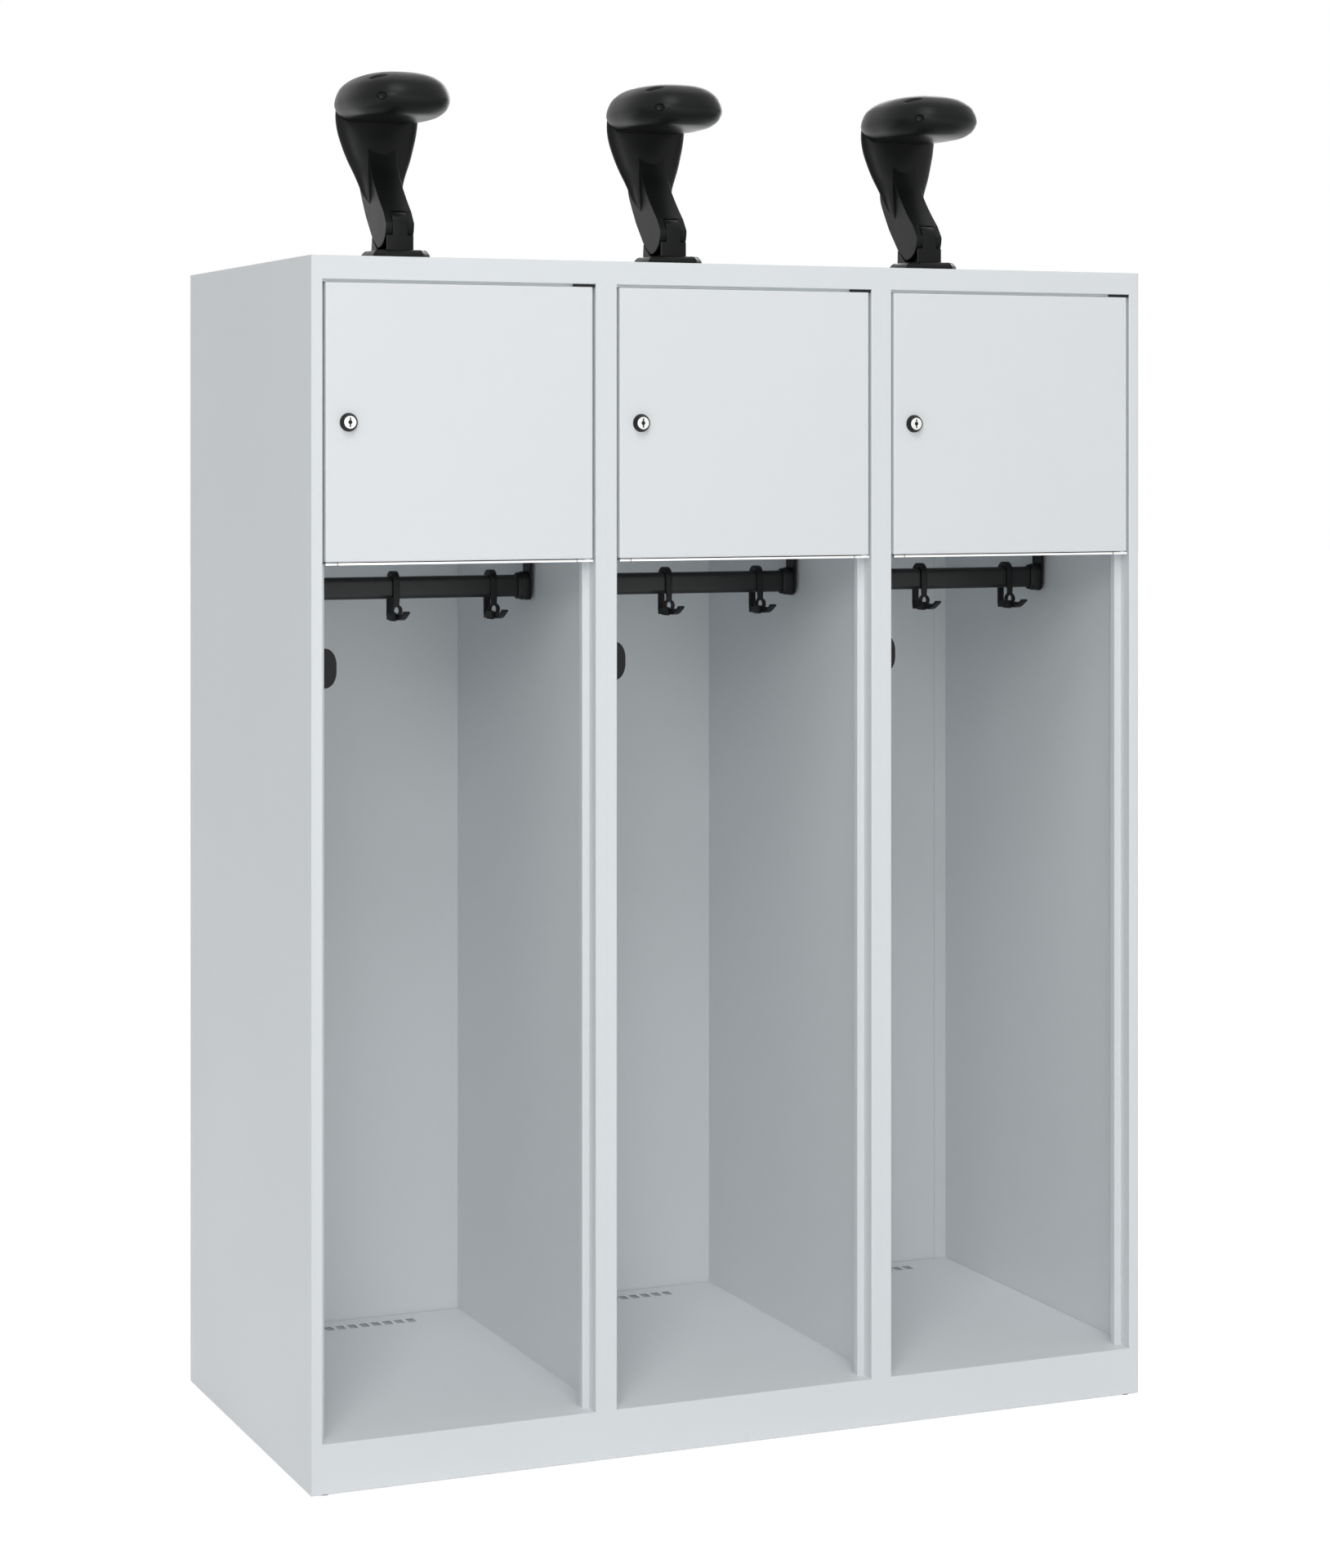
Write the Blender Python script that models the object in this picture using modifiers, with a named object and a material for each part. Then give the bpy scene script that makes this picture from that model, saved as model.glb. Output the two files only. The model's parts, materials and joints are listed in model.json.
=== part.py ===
# Three-bay gear locker: sheet-steel cabinet with lockable top compartments,
# garment rails with sliding hooks, and folding helmet holders on the roof.
# Lengths are in metres. +Z is up, the doors face -Y and +X is to their right.
# The origin is the centre of the bounding box's base.

import math

import bmesh
import bpy
from mathutils import Matrix, Vector

# Cabinet
BAY_COUNT = 3
BAY_PITCH = 0.400
CABINET_DEPTH = 0.550
CABINET_HEIGHT = 1.550
FOOT_PROUD = 0.0015
SHEET = 0.001
SEAM = 0.0003
OVERRUN = 0.004

# Front frame: end stiles, posts and top rail
STILE_FACE = 0.015
RAIL_FACE = 0.030
REBATE_DEPTH = 0.0228
STOP_WIDTH = 0.0094
STOP_RETURN = 0.0111
RAIL_LIP = 0.009
REAR_FLANGE = 0.020

# Base panel
BASE_HEIGHT = 0.063
BASE_LIP = 0.025
SLOT_COUNT = 14
SLOT_PITCH = 0.0175
SLOT_WIDTH = 0.0115
SLOT_LENGTH = 0.020
SLOT_FROM_BACK = 0.038

# Levelling feet
FOOT_RADIUS = 0.007
FOOT_STEM_RADIUS = 0.004
FOOT_STEM_HEIGHT = 0.030
FOOT_INSET_SIDE = 0.019
FOOT_INSET_FRONT = 0.0095
FOOT_INSET_BACK = 0.014

# Doors
DOOR_HEIGHT = 0.351
DOOR_THICKNESS = 0.020
DOOR_SIDE_GAP = 0.0038
DOOR_TOP_GAP = 0.0037
DOOR_BOTTOM_GAP = 0.0015
DOOR_EDGE_RADIUS = 0.0012
DOOR_HEM = 0.012
HINGE_INSET = 0.006
HINGE_DEPTH = 0.005
PIN_RADIUS = 0.0025
PIN_REACH = 0.0065
BUSH_LENGTH = 0.029
BUSH_DEPTH = 0.018
BUSH_SETBACK = 0.0015
SHOULDER_RADIUS = 0.0045

# Shelves
SHELF_HEM_HEIGHT = 0.0013
SHELF_HEM_DEPTH = 0.012
SHELF_SLIT_WIDTH = 0.0012
SHELF_SLIT_DEPTH = 0.002
SHELF_SLIT_INSET = 0.016

# Locks
LOCK_INSET = 0.030
BARREL_RADIUS = 0.00815
BARREL_RECESS = 0.0004
ROSETTE_PROUD = 0.008
ROSETTE_FOOT_RADIUS = 0.01175
ROSETTE_TIP_RADIUS = 0.009
SLEEVE_RADIUS = 0.0095
SLEEVE_REACH = 0.021
KEYHOLE_HEIGHT = 0.012
KEYHOLE_WIDTH = 0.0018
KEYHOLE_EYE_RADIUS = 0.00265
KEYHOLE_DEPTH = 0.007
NUT_RADIUS = 0.0135
NUT_HEIGHT = 0.004
CAM_SETBACK = 0.026
CAM_THICKNESS = 0.002
CAM_WIDTH = 0.014
CAM_REACH = 0.031
CAM_STUB_RADIUS = 0.0035
STRIKE_CLEARANCE = 0.0015

# Garment rails and their end brackets
RAIL_HEIGHT = 0.030
RAIL_DEPTH = 0.015
RAIL_WALL = 0.0012
RAIL_BELOW_SHELF = 0.0432
RAIL_SETBACK = 0.259
BRACKET_INSET = 0.0045
BRACKET_DEPTH = 0.024
BRACKET_PLATE = 0.004
BRACKET_DROP = 0.0195
COLLAR_LENGTH = 0.0155
COLLAR_WALL = 0.003

# Sliding hooks
HOOKS_PER_RAIL = 3
HOOK_SPACING = 0.140
HOOK_WIDTH = 0.009
HOOK_LEG = 0.003
HOOK_REAR_LEG = 0.0035
HOOK_REAR_REACH = 0.020
HOOK_CROWN = 0.0071
HOOK_DROP = 0.029
HOOK_ARM_HEIGHT = 0.0092
HOOK_TIP_REACH = 0.052
HOOK_TIP_RISE = 0.006
HOOK_TIP_LENGTH = 0.006
HOOK_EYE_RADIUS = 0.0082
HOOK_EYE_HOLE = 0.0045
HOOK_EYE_DROP = 0.0156
HOOK_EYE_THICKNESS = 0.0035

# Belt hooks on the bays' left walls
BELT_HOOK_SETBACK = 0.060
BELT_HOOK_CENTRE = 1.0285
BELT_HOOK_HEIGHT = 0.0495
BELT_HOOK_REACH = 0.0505
BELT_HOOK_DEPTH = 0.040
BELT_PLATE = 0.003
BELT_CORNER_ACROSS = 0.014
BELT_CORNER_UP = 0.020
BELT_ARM_LENGTH = 0.044
BELT_ARM_HEIGHT = 0.008
BELT_ARM_DROP = 0.004
BELT_LIP_RISE = 0.010

# Helmet holder: base, knuckle and pivot
HOLDER_SETBACK = 0.250
HOLDER_BASE_SIZE = 0.080
HOLDER_BASE_HEIGHT = 0.024
HOLDER_BASE_CORNER = 0.014
HOLDER_BASE_CHAMFER = 0.005
HOLDER_BASE_OFFSET = 0.004
PIVOT_HEIGHT = 0.059
KNUCKLE_RADIUS = 0.016
KNUCKLE_WIDTH = 0.021
CHEEK_WIDTH = 0.0372
CHEEK_THICKNESS = 0.0027
CHEEK_STEP = 0.0005
HEEL_REST_WIDTH = 0.040
PIVOT_PIN_RADIUS = 0.003
PIVOT_PIN_LENGTH = 0.034
SCREW_RADIUS = 0.0025
SCREW_HEAD_RADIUS = 0.0045
SCREW_HEAD_HEIGHT = 0.003
SCREW_REACH = 0.014
SCREW_SPREAD = 0.050

# Helmet holder: arm and head
ARM_WIDTH = 0.040
ARM_SWEEP_HEIGHT = 0.200
JAW_CLEARANCE = 0.0006
SIDE_CLEARANCE = 0.0004
NECK_HALF_WIDTH = 0.060
NECK_HALF_DEPTH = 0.0195
HEAD_HALF_WIDTH = 0.071
HEAD_HALF_LENGTH = 0.097
HEAD_HEIGHT = 0.0635
HEAD_SINK = 0.001
HEAD_OFFSET = 0.017
HEAD_SLOT_LENGTH = 0.034
HEAD_SLOT_WIDTH = 0.007
HEAD_SLOT_DEPTH = 0.012
HEAD_DIMPLE_RADIUS = 0.007
HEAD_DIMPLE_DEPTH = 0.006

# Shares of the sizes above that place small details of the head and shape its curves
SLOT_UP_SHARE = 0.80
SLOT_OUT_SHARE = 0.56
SLOT_FRONT_SHARE = 0.62
SLOT_TURN = math.radians(56)
DIMPLE_UP_SHARE = 0.37
DIMPLE_OUT_SHARE = 0.62
DIMPLE_FRONT_SHARE = 0.86
DIMPLE_TURN = math.radians(-40)
HEAD_POWER = 2.5
LOBE_POWER = 1.9

# The arm's side view as shares of ARM_SWEEP_HEIGHT: back from the pivot, up from the roof
ARM_FRONT_SHARES = [
    (-0.024, 0.375),
    (0.054, 0.450),
    (0.116, 0.515),
    (0.172, 0.580),
    (0.242, 0.680),
    (0.289, 0.804),
    (0.320, 0.900),
]
ARM_REAR_SHARES = [
    (0.343, 0.364),
    (0.430, 0.494),
    (0.480, 0.585),
    (0.488, 0.660),
    (0.480, 0.800),
    (0.470, 0.900),
]
HEEL_SHARES = [(0.095, 0.135), (0.210, 0.2125)]

# The neck's sections: height and centre as shares of ARM_SWEEP_HEIGHT, then half width, half depth
NECK_SHARES = [
    (0.400, 0.275, 0.405, 0.50),
    (0.450, 0.290, 0.440, 0.52),
    (0.520, 0.3075, 0.500, 0.56),
    (0.580, 0.322, 0.540, 0.62),
    (0.645, 0.338, 0.615, 0.70),
    (0.740, 0.360, 0.748, 0.86),
    (0.835, 0.380, 0.855, 0.94),
    (0.935, 0.395, 0.945, 0.98),
    (1.030, 0.400, 0.985, 1.00),
    (1.075, 0.400, 0.975, 1.00),
    (1.120, 0.400, 0.880, 0.70),
]
NECK_CUT_SHARES = [(0.250, 0.4285), (0.320, 0.5775)]

# The head's profile: shares of its half width or length, and of its height
HEAD_SHARES = [
    (0.60, 0.000),
    (0.80, 0.055),
    (0.92, 0.155),
    (0.98, 0.270),
    (1.00, 0.385),
    (0.965, 0.560),
    (0.88, 0.730),
    (0.70, 0.880),
    (0.44, 0.965),
    (0.18, 0.995),
]

# Facets of round forms, and the angles that count as sharp and as flat
ROUND_STEPS = 16
SMALL_STEPS = 10
ARC_STEPS = 3
HEAD_STEPS = 24
NECK_STEPS = 20
SHARP_ANGLE = math.radians(35)
FLAT_ANGLE = math.radians(1)

# Sizes that follow from the ones above
WIDTH = BAY_COUNT * BAY_PITCH
FRONT_Y = -(CABINET_DEPTH - ROSETTE_PROUD) / 2
WELD = SEAM / 100
STOP_EDGE = STILE_FACE + STOP_WIDTH
STILE_DEPTH = REBATE_DEPTH + STOP_RETURN
INNER_BACK = CABINET_DEPTH - SHEET - SEAM
SHELF_BACK = INNER_BACK - SHEET - SEAM
STILE_TOP = CABINET_HEIGHT - RAIL_FACE - SEAM
STILE_FOOT = BASE_HEIGHT + SEAM
DOOR_TOP = CABINET_HEIGHT - RAIL_FACE - DOOR_TOP_GAP
DOOR_BOTTOM = DOOR_TOP - DOOR_HEIGHT
DOOR_WIDTH = BAY_PITCH - 2 * (STILE_FACE + DOOR_SIDE_GAP)
SHELF_TOP = DOOR_BOTTOM - DOOR_BOTTOM_GAP
HINGE_X = BAY_PITCH - STILE_FACE - DOOR_SIDE_GAP - HINGE_INSET
LOCK_Z = DOOR_BOTTOM + DOOR_HEIGHT / 2
RAIL_Z = SHELF_TOP - RAIL_BELOW_SHELF
PIN_HOLE = PIN_RADIUS + SEAM
PIVOT_HOLE = PIVOT_PIN_RADIUS + SEAM
HEAD_BOTTOM = ARM_SWEEP_HEIGHT - HEAD_SINK

# Turns that stand a flat outline up: outline (y, z) pushed along X, (x, z) along Y
ALONG_X = Matrix(((0, 0, 1, 0), (1, 0, 0, 0), (0, 1, 0, 0), (0, 0, 0, 1)))
ALONG_Y = Matrix.Rotation(math.pi / 2, 4, "X")
ALONG_Z = Matrix.Identity(4)


def new_collection(name):
    collection = bpy.data.collections.new(name)
    bpy.context.scene.collection.children.link(collection)
    return collection


def new_material(name, colour, roughness, metallic):
    material = bpy.data.materials.new(name)
    material.use_nodes = True
    shader = material.node_tree.nodes["Principled BSDF"]
    shader.inputs["Base Color"].default_value = (*colour, 1.0)
    shader.inputs["Roughness"].default_value = roughness
    shader.inputs["Metallic"].default_value = metallic
    material.diffuse_color = (*colour, 1.0)
    return material


def new_empty(name, parent, at):
    empty = bpy.data.objects.new(name, None)
    empty.empty_display_size = RAIL_HEIGHT
    empty.parent = parent
    empty.location = at
    parts.objects.link(empty)
    return empty


def add_part(name, mesh, material, parent, at=(0, 0, 0), turn=ALONG_Z):
    part = bpy.data.objects.new(name, mesh)
    parts.objects.link(part)
    part.parent = parent
    part.matrix_local = Matrix.Translation(at) @ turn
    if not mesh.materials:
        mesh.materials.append(material)
    return part


def add_cutter(name, mesh, parent, at=(0, 0, 0), turn=ALONG_Z):
    cutter = bpy.data.objects.new(name, mesh)
    cutters.objects.link(cutter)
    cutter.parent = parent
    cutter.matrix_local = Matrix.Translation(at) @ turn
    cutter.hide_render = True
    cutter.display_type = "WIRE"
    return cutter


def boolean(part, other, operation="DIFFERENCE"):
    cut = part.modifiers.new(operation.title(), "BOOLEAN")
    cut.object = other
    cut.operation = operation
    cut.solver = "EXACT"


def smooth(mesh):
    mesh.shade_smooth()
    mesh.set_sharp_from_angle(angle=SHARP_ANGLE)
    return mesh


def mesh_from(bm, name):
    mesh = bpy.data.meshes.new(name)
    bm.to_mesh(mesh)
    bm.free()
    return mesh


def box_mesh(name, low, high):
    bm = bmesh.new()
    size = Vector(high) - Vector(low)
    centre = (Vector(high) + Vector(low)) / 2
    place = Matrix.Translation(centre) @ Matrix.Diagonal((*size, 1))
    bmesh.ops.create_cube(bm, size=1, matrix=place)
    return mesh_from(bm, name)


def boxes_mesh(name, corners):
    return joined_mesh(name, [(box_mesh(name, low, high), ALONG_Z) for low, high in corners])


def cylinder_mesh(name, radius, low, high, steps=SMALL_STEPS):
    # A cylinder on the Z axis between two heights
    bm = bmesh.new()
    bmesh.ops.create_cone(
        bm,
        cap_ends=True,
        segments=steps,
        radius1=radius,
        radius2=radius,
        depth=high - low,
        matrix=Matrix.Translation((0, 0, (low + high) / 2)),
    )
    return smooth(mesh_from(bm, name))


def joined_mesh(name, placed):
    # One mesh from several, each with its own place
    bm = bmesh.new()
    for mesh, place in placed:
        copy = mesh.copy()
        copy.transform(place)
        bm.from_mesh(copy)
        bpy.data.meshes.remove(copy)
    return mesh_from(bm, name)


def evaluated_mesh(part):
    # The mesh of an object with its modifiers done; the object goes
    bpy.context.view_layer.update()
    graph = bpy.context.evaluated_depsgraph_get()
    mesh = bpy.data.meshes.new_from_object(part.evaluated_get(graph))
    mesh.name = part.name
    bpy.data.objects.remove(part)
    return mesh


def outline_mesh(name, outer, holes, thickness):
    # A flat plate: a filled 2D curve, pushed half its thickness each way
    curve = bpy.data.curves.new(name, "CURVE")
    curve.dimensions = "2D"
    curve.fill_mode = "BOTH"
    curve.extrude = thickness / 2
    for loop in [outer, *holes]:
        spline = curve.splines.new("POLY")
        spline.points.add(len(loop) - 1)
        for point, (u, v) in zip(spline.points, loop):
            point.co = (u, v, 0, 1)
        spline.use_cyclic_u = True
    outline = bpy.data.objects.new(name, curve)
    parts.objects.link(outline)
    mesh = evaluated_mesh(outline)
    bm = bmesh.new()
    bm.from_mesh(mesh)
    bmesh.ops.remove_doubles(bm, verts=bm.verts, dist=WELD)
    bmesh.ops.recalc_face_normals(bm, faces=bm.faces)
    bm.to_mesh(mesh)
    bm.free()
    return smooth(mesh)


def arc(centre, radius, start, end, steps=ARC_STEPS, radius_up=None):
    # Points of an arc, or of an elliptical one where radius_up is given
    up = radius if radius_up is None else radius_up
    turns = [start + (end - start) * i / steps for i in range(steps + 1)]
    return [
        (centre[0] + radius * math.cos(math.radians(t)), centre[1] + up * math.sin(math.radians(t)))
        for t in turns
    ]


def circle(centre, radius, steps=SMALL_STEPS):
    return arc(centre, radius, 0, 360, steps)[:-1]


def stadium(across, up, steps=ARC_STEPS):
    # An upright oval with straight sides, centred on the origin
    radius = across / 2
    rise = up / 2 - radius
    return arc((0, rise), radius, 0, 180, steps * 2) + arc((0, -rise), radius, 180, 360, steps * 2)


def folded_sheet(name, path, axis, low, high, outward, material, parent):
    # A folded sheet: an open surface along the path's outer side, then Solidify
    if axis == "Z":
        near = [(u, v, low) for u, v in path]
        run = Vector((0, 0, high - low))
    else:
        near = [(low, u, v) for u, v in path]
        run = Vector((high - low, 0, 0))
    far = [Vector(p) + run for p in near]
    count = len(path)
    faces = [(i, i + 1, count + i + 1, count + i) for i in range(count - 1)]
    mesh = bpy.data.meshes.new(name)
    mesh.from_pydata(near + [tuple(p) for p in far], [], faces)
    part = add_part(name, mesh, material, parent)
    wall = part.modifiers.new("Sheet", "SOLIDIFY")
    wall.thickness = SHEET
    wall.offset = -1 if outward else 1
    wall.use_even_offset = True
    return part


def turned_part(name, profile, steps, material, parent, at=(0, 0, 0), turn=ALONG_Z, closed=False):
    # A turned shape: a profile in XZ, run down its outer side, and Screw about Z
    mesh = bpy.data.meshes.new(name)
    count = len(profile)
    edges = [(i, i + 1) for i in range(count - 1)]
    if closed:
        edges.append((count - 1, 0))
    mesh.from_pydata([(r, 0, z) for r, z in profile], edges, [])
    part = add_part(name, mesh, material, parent, at, turn)
    screw = part.modifiers.new("Turn", "SCREW")
    screw.angle = math.tau
    screw.steps = steps
    screw.render_steps = steps
    screw.use_merge_vertices = True
    screw.merge_threshold = WELD
    screw.use_smooth_shade = False
    return part


def bay_walls(bay):
    # Inner faces of the walls left and right of a bay
    left = SHEET if bay == 0 else bay * BAY_PITCH + SHEET / 2
    right = WIDTH - SHEET if bay == BAY_COUNT - 1 else (bay + 1) * BAY_PITCH - SHEET / 2
    return left, right


def strike_slot(edge, direction):
    # Slot in a stile's second return, for the lock cam's swing from down to sideways
    inner = edge - direction * (SHEET + OVERRUN)
    outer = edge + direction * OVERRUN
    front = CAM_SETBACK - STRIKE_CLEARANCE
    back = CAM_SETBACK + CAM_THICKNESS + STRIKE_CLEARANCE
    low = LOCK_Z - CAM_REACH
    high = LOCK_Z + CAM_WIDTH / 2 + STRIKE_CLEARANCE
    return (min(inner, outer), front, low), (max(inner, outer), back, high)


def stile_path():
    # Plan of a left-hand stile's outer side, from its outer corner to the wall
    return [
        (0, 0),
        (STILE_FACE, 0),
        (STILE_FACE, REBATE_DEPTH),
        (STOP_EDGE, REBATE_DEPTH),
        (STOP_EDGE, STILE_DEPTH),
    ]


def make_side_panels():
    # Side sheet, end stile and rear flange folded from one sheet
    path = [(REAR_FLANGE, INNER_BACK), (0, INNER_BACK), *stile_path(), (SHEET + SEAM, STILE_DEPTH)]
    skin = SHEET + SEAM / 2
    past_stop = STOP_EDGE + OVERRUN
    past_stile = STILE_DEPTH + OVERRUN
    trims = [
        ((skin, -OVERRUN, STILE_TOP), (past_stop, past_stile, CABINET_HEIGHT + OVERRUN)),
        ((skin, -OVERRUN, -OVERRUN), (past_stop, past_stile, STILE_FOOT)),
        (
            (skin, INNER_BACK - OVERRUN, CABINET_HEIGHT - SHEET - SEAM),
            (REAR_FLANGE + OVERRUN, INNER_BACK + OVERRUN, CABINET_HEIGHT + OVERRUN),
        ),
    ]
    left = folded_sheet("left_side_panel", path, "Z", 0, CABINET_HEIGHT, True, coat, corner)
    left_cuts = trims + [strike_slot(STOP_EDGE, 1)]
    boolean(left, add_cutter("left_trims", boxes_mesh("left_trims", left_cuts), corner))
    mirrored = [(WIDTH - x, y) for x, y in path]
    right = folded_sheet("right_side_panel", mirrored, "Z", 0, CABINET_HEIGHT, False, coat, corner)
    flipped = [((WIDTH - hi[0], lo[1], lo[2]), (WIDTH - lo[0], hi[1], hi[2])) for lo, hi in trims]
    boolean(right, add_cutter("right_trims", boxes_mesh("right_trims", flipped), corner))


def make_dividers():
    # Flat sheet, notched for the front rail, with two folded post halves welded to its
    # front; the halves meet in a centre seam
    notch = REBATE_DEPTH + SEAM
    behind = SHEET + SEAM
    outline = [
        (behind, STILE_FOOT),
        (INNER_BACK, STILE_FOOT),
        (INNER_BACK, CABINET_HEIGHT - SHEET - SEAM),
        (notch, CABINET_HEIGHT - SHEET - SEAM),
        (notch, STILE_TOP),
        (behind, STILE_TOP),
    ]
    sheet = outline_mesh("divider", outline, [], SHEET)
    path = [(SEAM / 2, 0), *stile_path()[1:], (0, STILE_DEPTH)]
    for k in range(1, BAY_COUNT):
        middle = k * BAY_PITCH
        divider = add_part(f"divider_{k}", sheet.copy(), coat, corner, (middle, 0, 0), ALONG_X)
        for side in (-1, 1):
            placed = [(middle + side * x, y) for x, y in path]
            half = folded_sheet(f"post_{k}", placed, "Z", STILE_FOOT, STILE_TOP, side > 0, coat, corner)
            mesh = evaluated_mesh(half)
            boolean(divider, add_cutter(f"post_{k}", mesh, corner), "UNION")
        low, high = strike_slot(middle + STOP_EDGE, 1)
        boolean(divider, add_cutter(f"strike_{k}", box_mesh(f"strike_{k}", low, high), corner))


def holder_screw_places():
    for bay in range(BAY_COUNT):
        middle = (bay + 0.5) * BAY_PITCH
        for side in (-1, 1):
            yield middle + side * SCREW_SPREAD / 2, HOLDER_SETBACK + HOLDER_BASE_OFFSET


def make_roof():
    # Roof sheet, front rail, bottom return and its upturned lip from one sheet
    rail_bottom = CABINET_HEIGHT - RAIL_FACE
    path = [
        (INNER_BACK, CABINET_HEIGHT),
        (0, CABINET_HEIGHT),
        (0, rail_bottom),
        (REBATE_DEPTH - SEAM, rail_bottom),
        (REBATE_DEPTH - SEAM, rail_bottom + RAIL_LIP),
    ]
    roof = folded_sheet("roof_panel", path, "X", SHEET + SEAM, WIDTH - SHEET - SEAM, True, coat, corner)
    drill = cylinder_mesh("drill", PIN_HOLE, rail_bottom - OVERRUN, rail_bottom + OVERRUN)
    pin_places = [(k * BAY_PITCH + HINGE_X, HINGE_DEPTH, 0) for k in range(BAY_COUNT)]
    pins = [(drill, Matrix.Translation(at)) for at in pin_places]
    bore = cylinder_mesh(
        "bore", SCREW_RADIUS + SEAM, CABINET_HEIGHT - OVERRUN, CABINET_HEIGHT + OVERRUN
    )
    screws = [(bore, Matrix.Translation((x, y, 0))) for x, y in holder_screw_places()]
    boolean(roof, add_cutter("roof_holes", joined_mesh("roof_holes", pins + screws), corner))


def foot_places():
    for x in (FOOT_INSET_SIDE, WIDTH - FOOT_INSET_SIDE):
        for y in (FOOT_INSET_FRONT, CABINET_DEPTH - FOOT_INSET_BACK):
            yield x, y


def make_base():
    # Floor, front plinth, rear plinth and their bottom lips from one sheet
    path = [
        (BASE_LIP, 0),
        (0, 0),
        (0, BASE_HEIGHT),
        (SHELF_BACK, BASE_HEIGHT),
        (SHELF_BACK, 0),
        (SHELF_BACK - BASE_LIP, 0),
    ]
    base = folded_sheet("base_panel", path, "X", SHEET + SEAM, WIDTH - SHEET - SEAM, False, coat, corner)
    slots = []
    middle_y = CABINET_DEPTH - SLOT_FROM_BACK
    for bay in range(BAY_COUNT):
        for i in range(SLOT_COUNT):
            x = (bay + 0.5) * BAY_PITCH + (i - (SLOT_COUNT - 1) / 2) * SLOT_PITCH
            low = (x - SLOT_WIDTH / 2, middle_y - SLOT_LENGTH / 2, BASE_HEIGHT - OVERRUN)
            high = (x + SLOT_WIDTH / 2, middle_y + SLOT_LENGTH / 2, BASE_HEIGHT + OVERRUN)
            slots.append((low, high))
    boolean(base, add_cutter("air_slots", boxes_mesh("air_slots", slots), corner))
    drill = cylinder_mesh("foot_drill", FOOT_STEM_RADIUS + SEAM, -OVERRUN, OVERRUN)
    holes = [(drill, Matrix.Translation((x, y, 0))) for x, y in foot_places()]
    boolean(base, add_cutter("foot_holes", joined_mesh("foot_holes", holes), corner))


def make_back():
    sheet = box_mesh("back_panel", (0, INNER_BACK + SEAM, 0), (WIDTH, CABINET_DEPTH, CABINET_HEIGHT))
    add_part("back_panel", sheet, coat, corner)


def make_feet():
    # A disc under the plinth's lip and a threaded stem through it
    profile = [
        (0, FOOT_STEM_HEIGHT),
        (FOOT_STEM_RADIUS, FOOT_STEM_HEIGHT),
        (FOOT_STEM_RADIUS, -SEAM),
        (FOOT_RADIUS, -SEAM),
        (FOOT_RADIUS, -FOOT_PROUD),
        (0, -FOOT_PROUD),
    ]
    for i, (x, y) in enumerate(foot_places()):
        turned_part(f"foot_{i + 1}", profile, SMALL_STEPS, plastic, corner, (x, y, 0))


def make_shelf(bay):
    # Shelf between the walls, with a neck past the door stops, a hemmed front lip and the
    # riveted pin that the door turns on
    number = bay + 1
    left_wall, right_wall = bay_walls(bay)
    start = bay * BAY_PITCH
    end = start + BAY_PITCH
    low = SHELF_TOP - SHEET
    lip = STILE_FACE + DOOR_SIDE_GAP
    neck = STOP_EDGE + SEAM
    sheet = box_mesh("shelf", (left_wall + SEAM, 0, low), (right_wall - SEAM, SHELF_BACK, SHELF_TOP))
    shelf = add_part(f"shelf_{number}", sheet, coat, corner)
    for name, inset, front in (("lip", lip, -OVERRUN), ("neck", neck, REBATE_DEPTH - SEAM)):
        rows = (front, STILE_DEPTH + SEAM)
        notches = [
            ((start - OVERRUN, rows[0], low - OVERRUN), (start + inset, rows[1], SHELF_TOP + OVERRUN)),
            ((end - inset, rows[0], low - OVERRUN), (end + OVERRUN, rows[1], SHELF_TOP + OVERRUN)),
        ]
        boolean(shelf, add_cutter(f"{name}_notches_{number}", boxes_mesh(name, notches), corner))
    hem_low = (start + lip + SEAM, SEAM, low - SHELF_HEM_HEIGHT)
    hem_high = (end - lip - SEAM, SHELF_HEM_DEPTH, SHELF_TOP - SHEET / 2)
    hem = add_cutter(f"hem_{number}", box_mesh("hem", hem_low, hem_high), corner)
    boolean(shelf, hem, "UNION")
    slits = []
    for x in (start + lip + SHELF_SLIT_INSET, end - lip - SHELF_SLIT_INSET):
        slit_low = (x - SHELF_SLIT_WIDTH / 2, -OVERRUN, low - OVERRUN)
        slit_high = (x + SHELF_SLIT_WIDTH / 2, SHELF_SLIT_DEPTH, SHELF_TOP + OVERRUN)
        slits.append((slit_low, slit_high))
    boolean(shelf, add_cutter(f"slits_{number}", boxes_mesh("slits", slits), corner))
    pin_top = DOOR_BOTTOM_GAP + PIN_REACH
    shoulder = DOOR_BOTTOM_GAP - SEAM
    profile = [
        (0, pin_top),
        (PIN_RADIUS, pin_top),
        (PIN_RADIUS, shoulder),
        (SHOULDER_RADIUS, shoulder),
        (SHOULDER_RADIUS, -SHEET / 2),
        (0, -SHEET / 2),
    ]
    at = (start + HINGE_X, HINGE_DEPTH, SHELF_TOP)
    pin = evaluated_mesh(turned_part("shelf_pin", profile, SMALL_STEPS, coat, corner))
    boolean(shelf, add_cutter(f"shelf_pin_{number}", pin, corner, at), "UNION")


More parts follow.
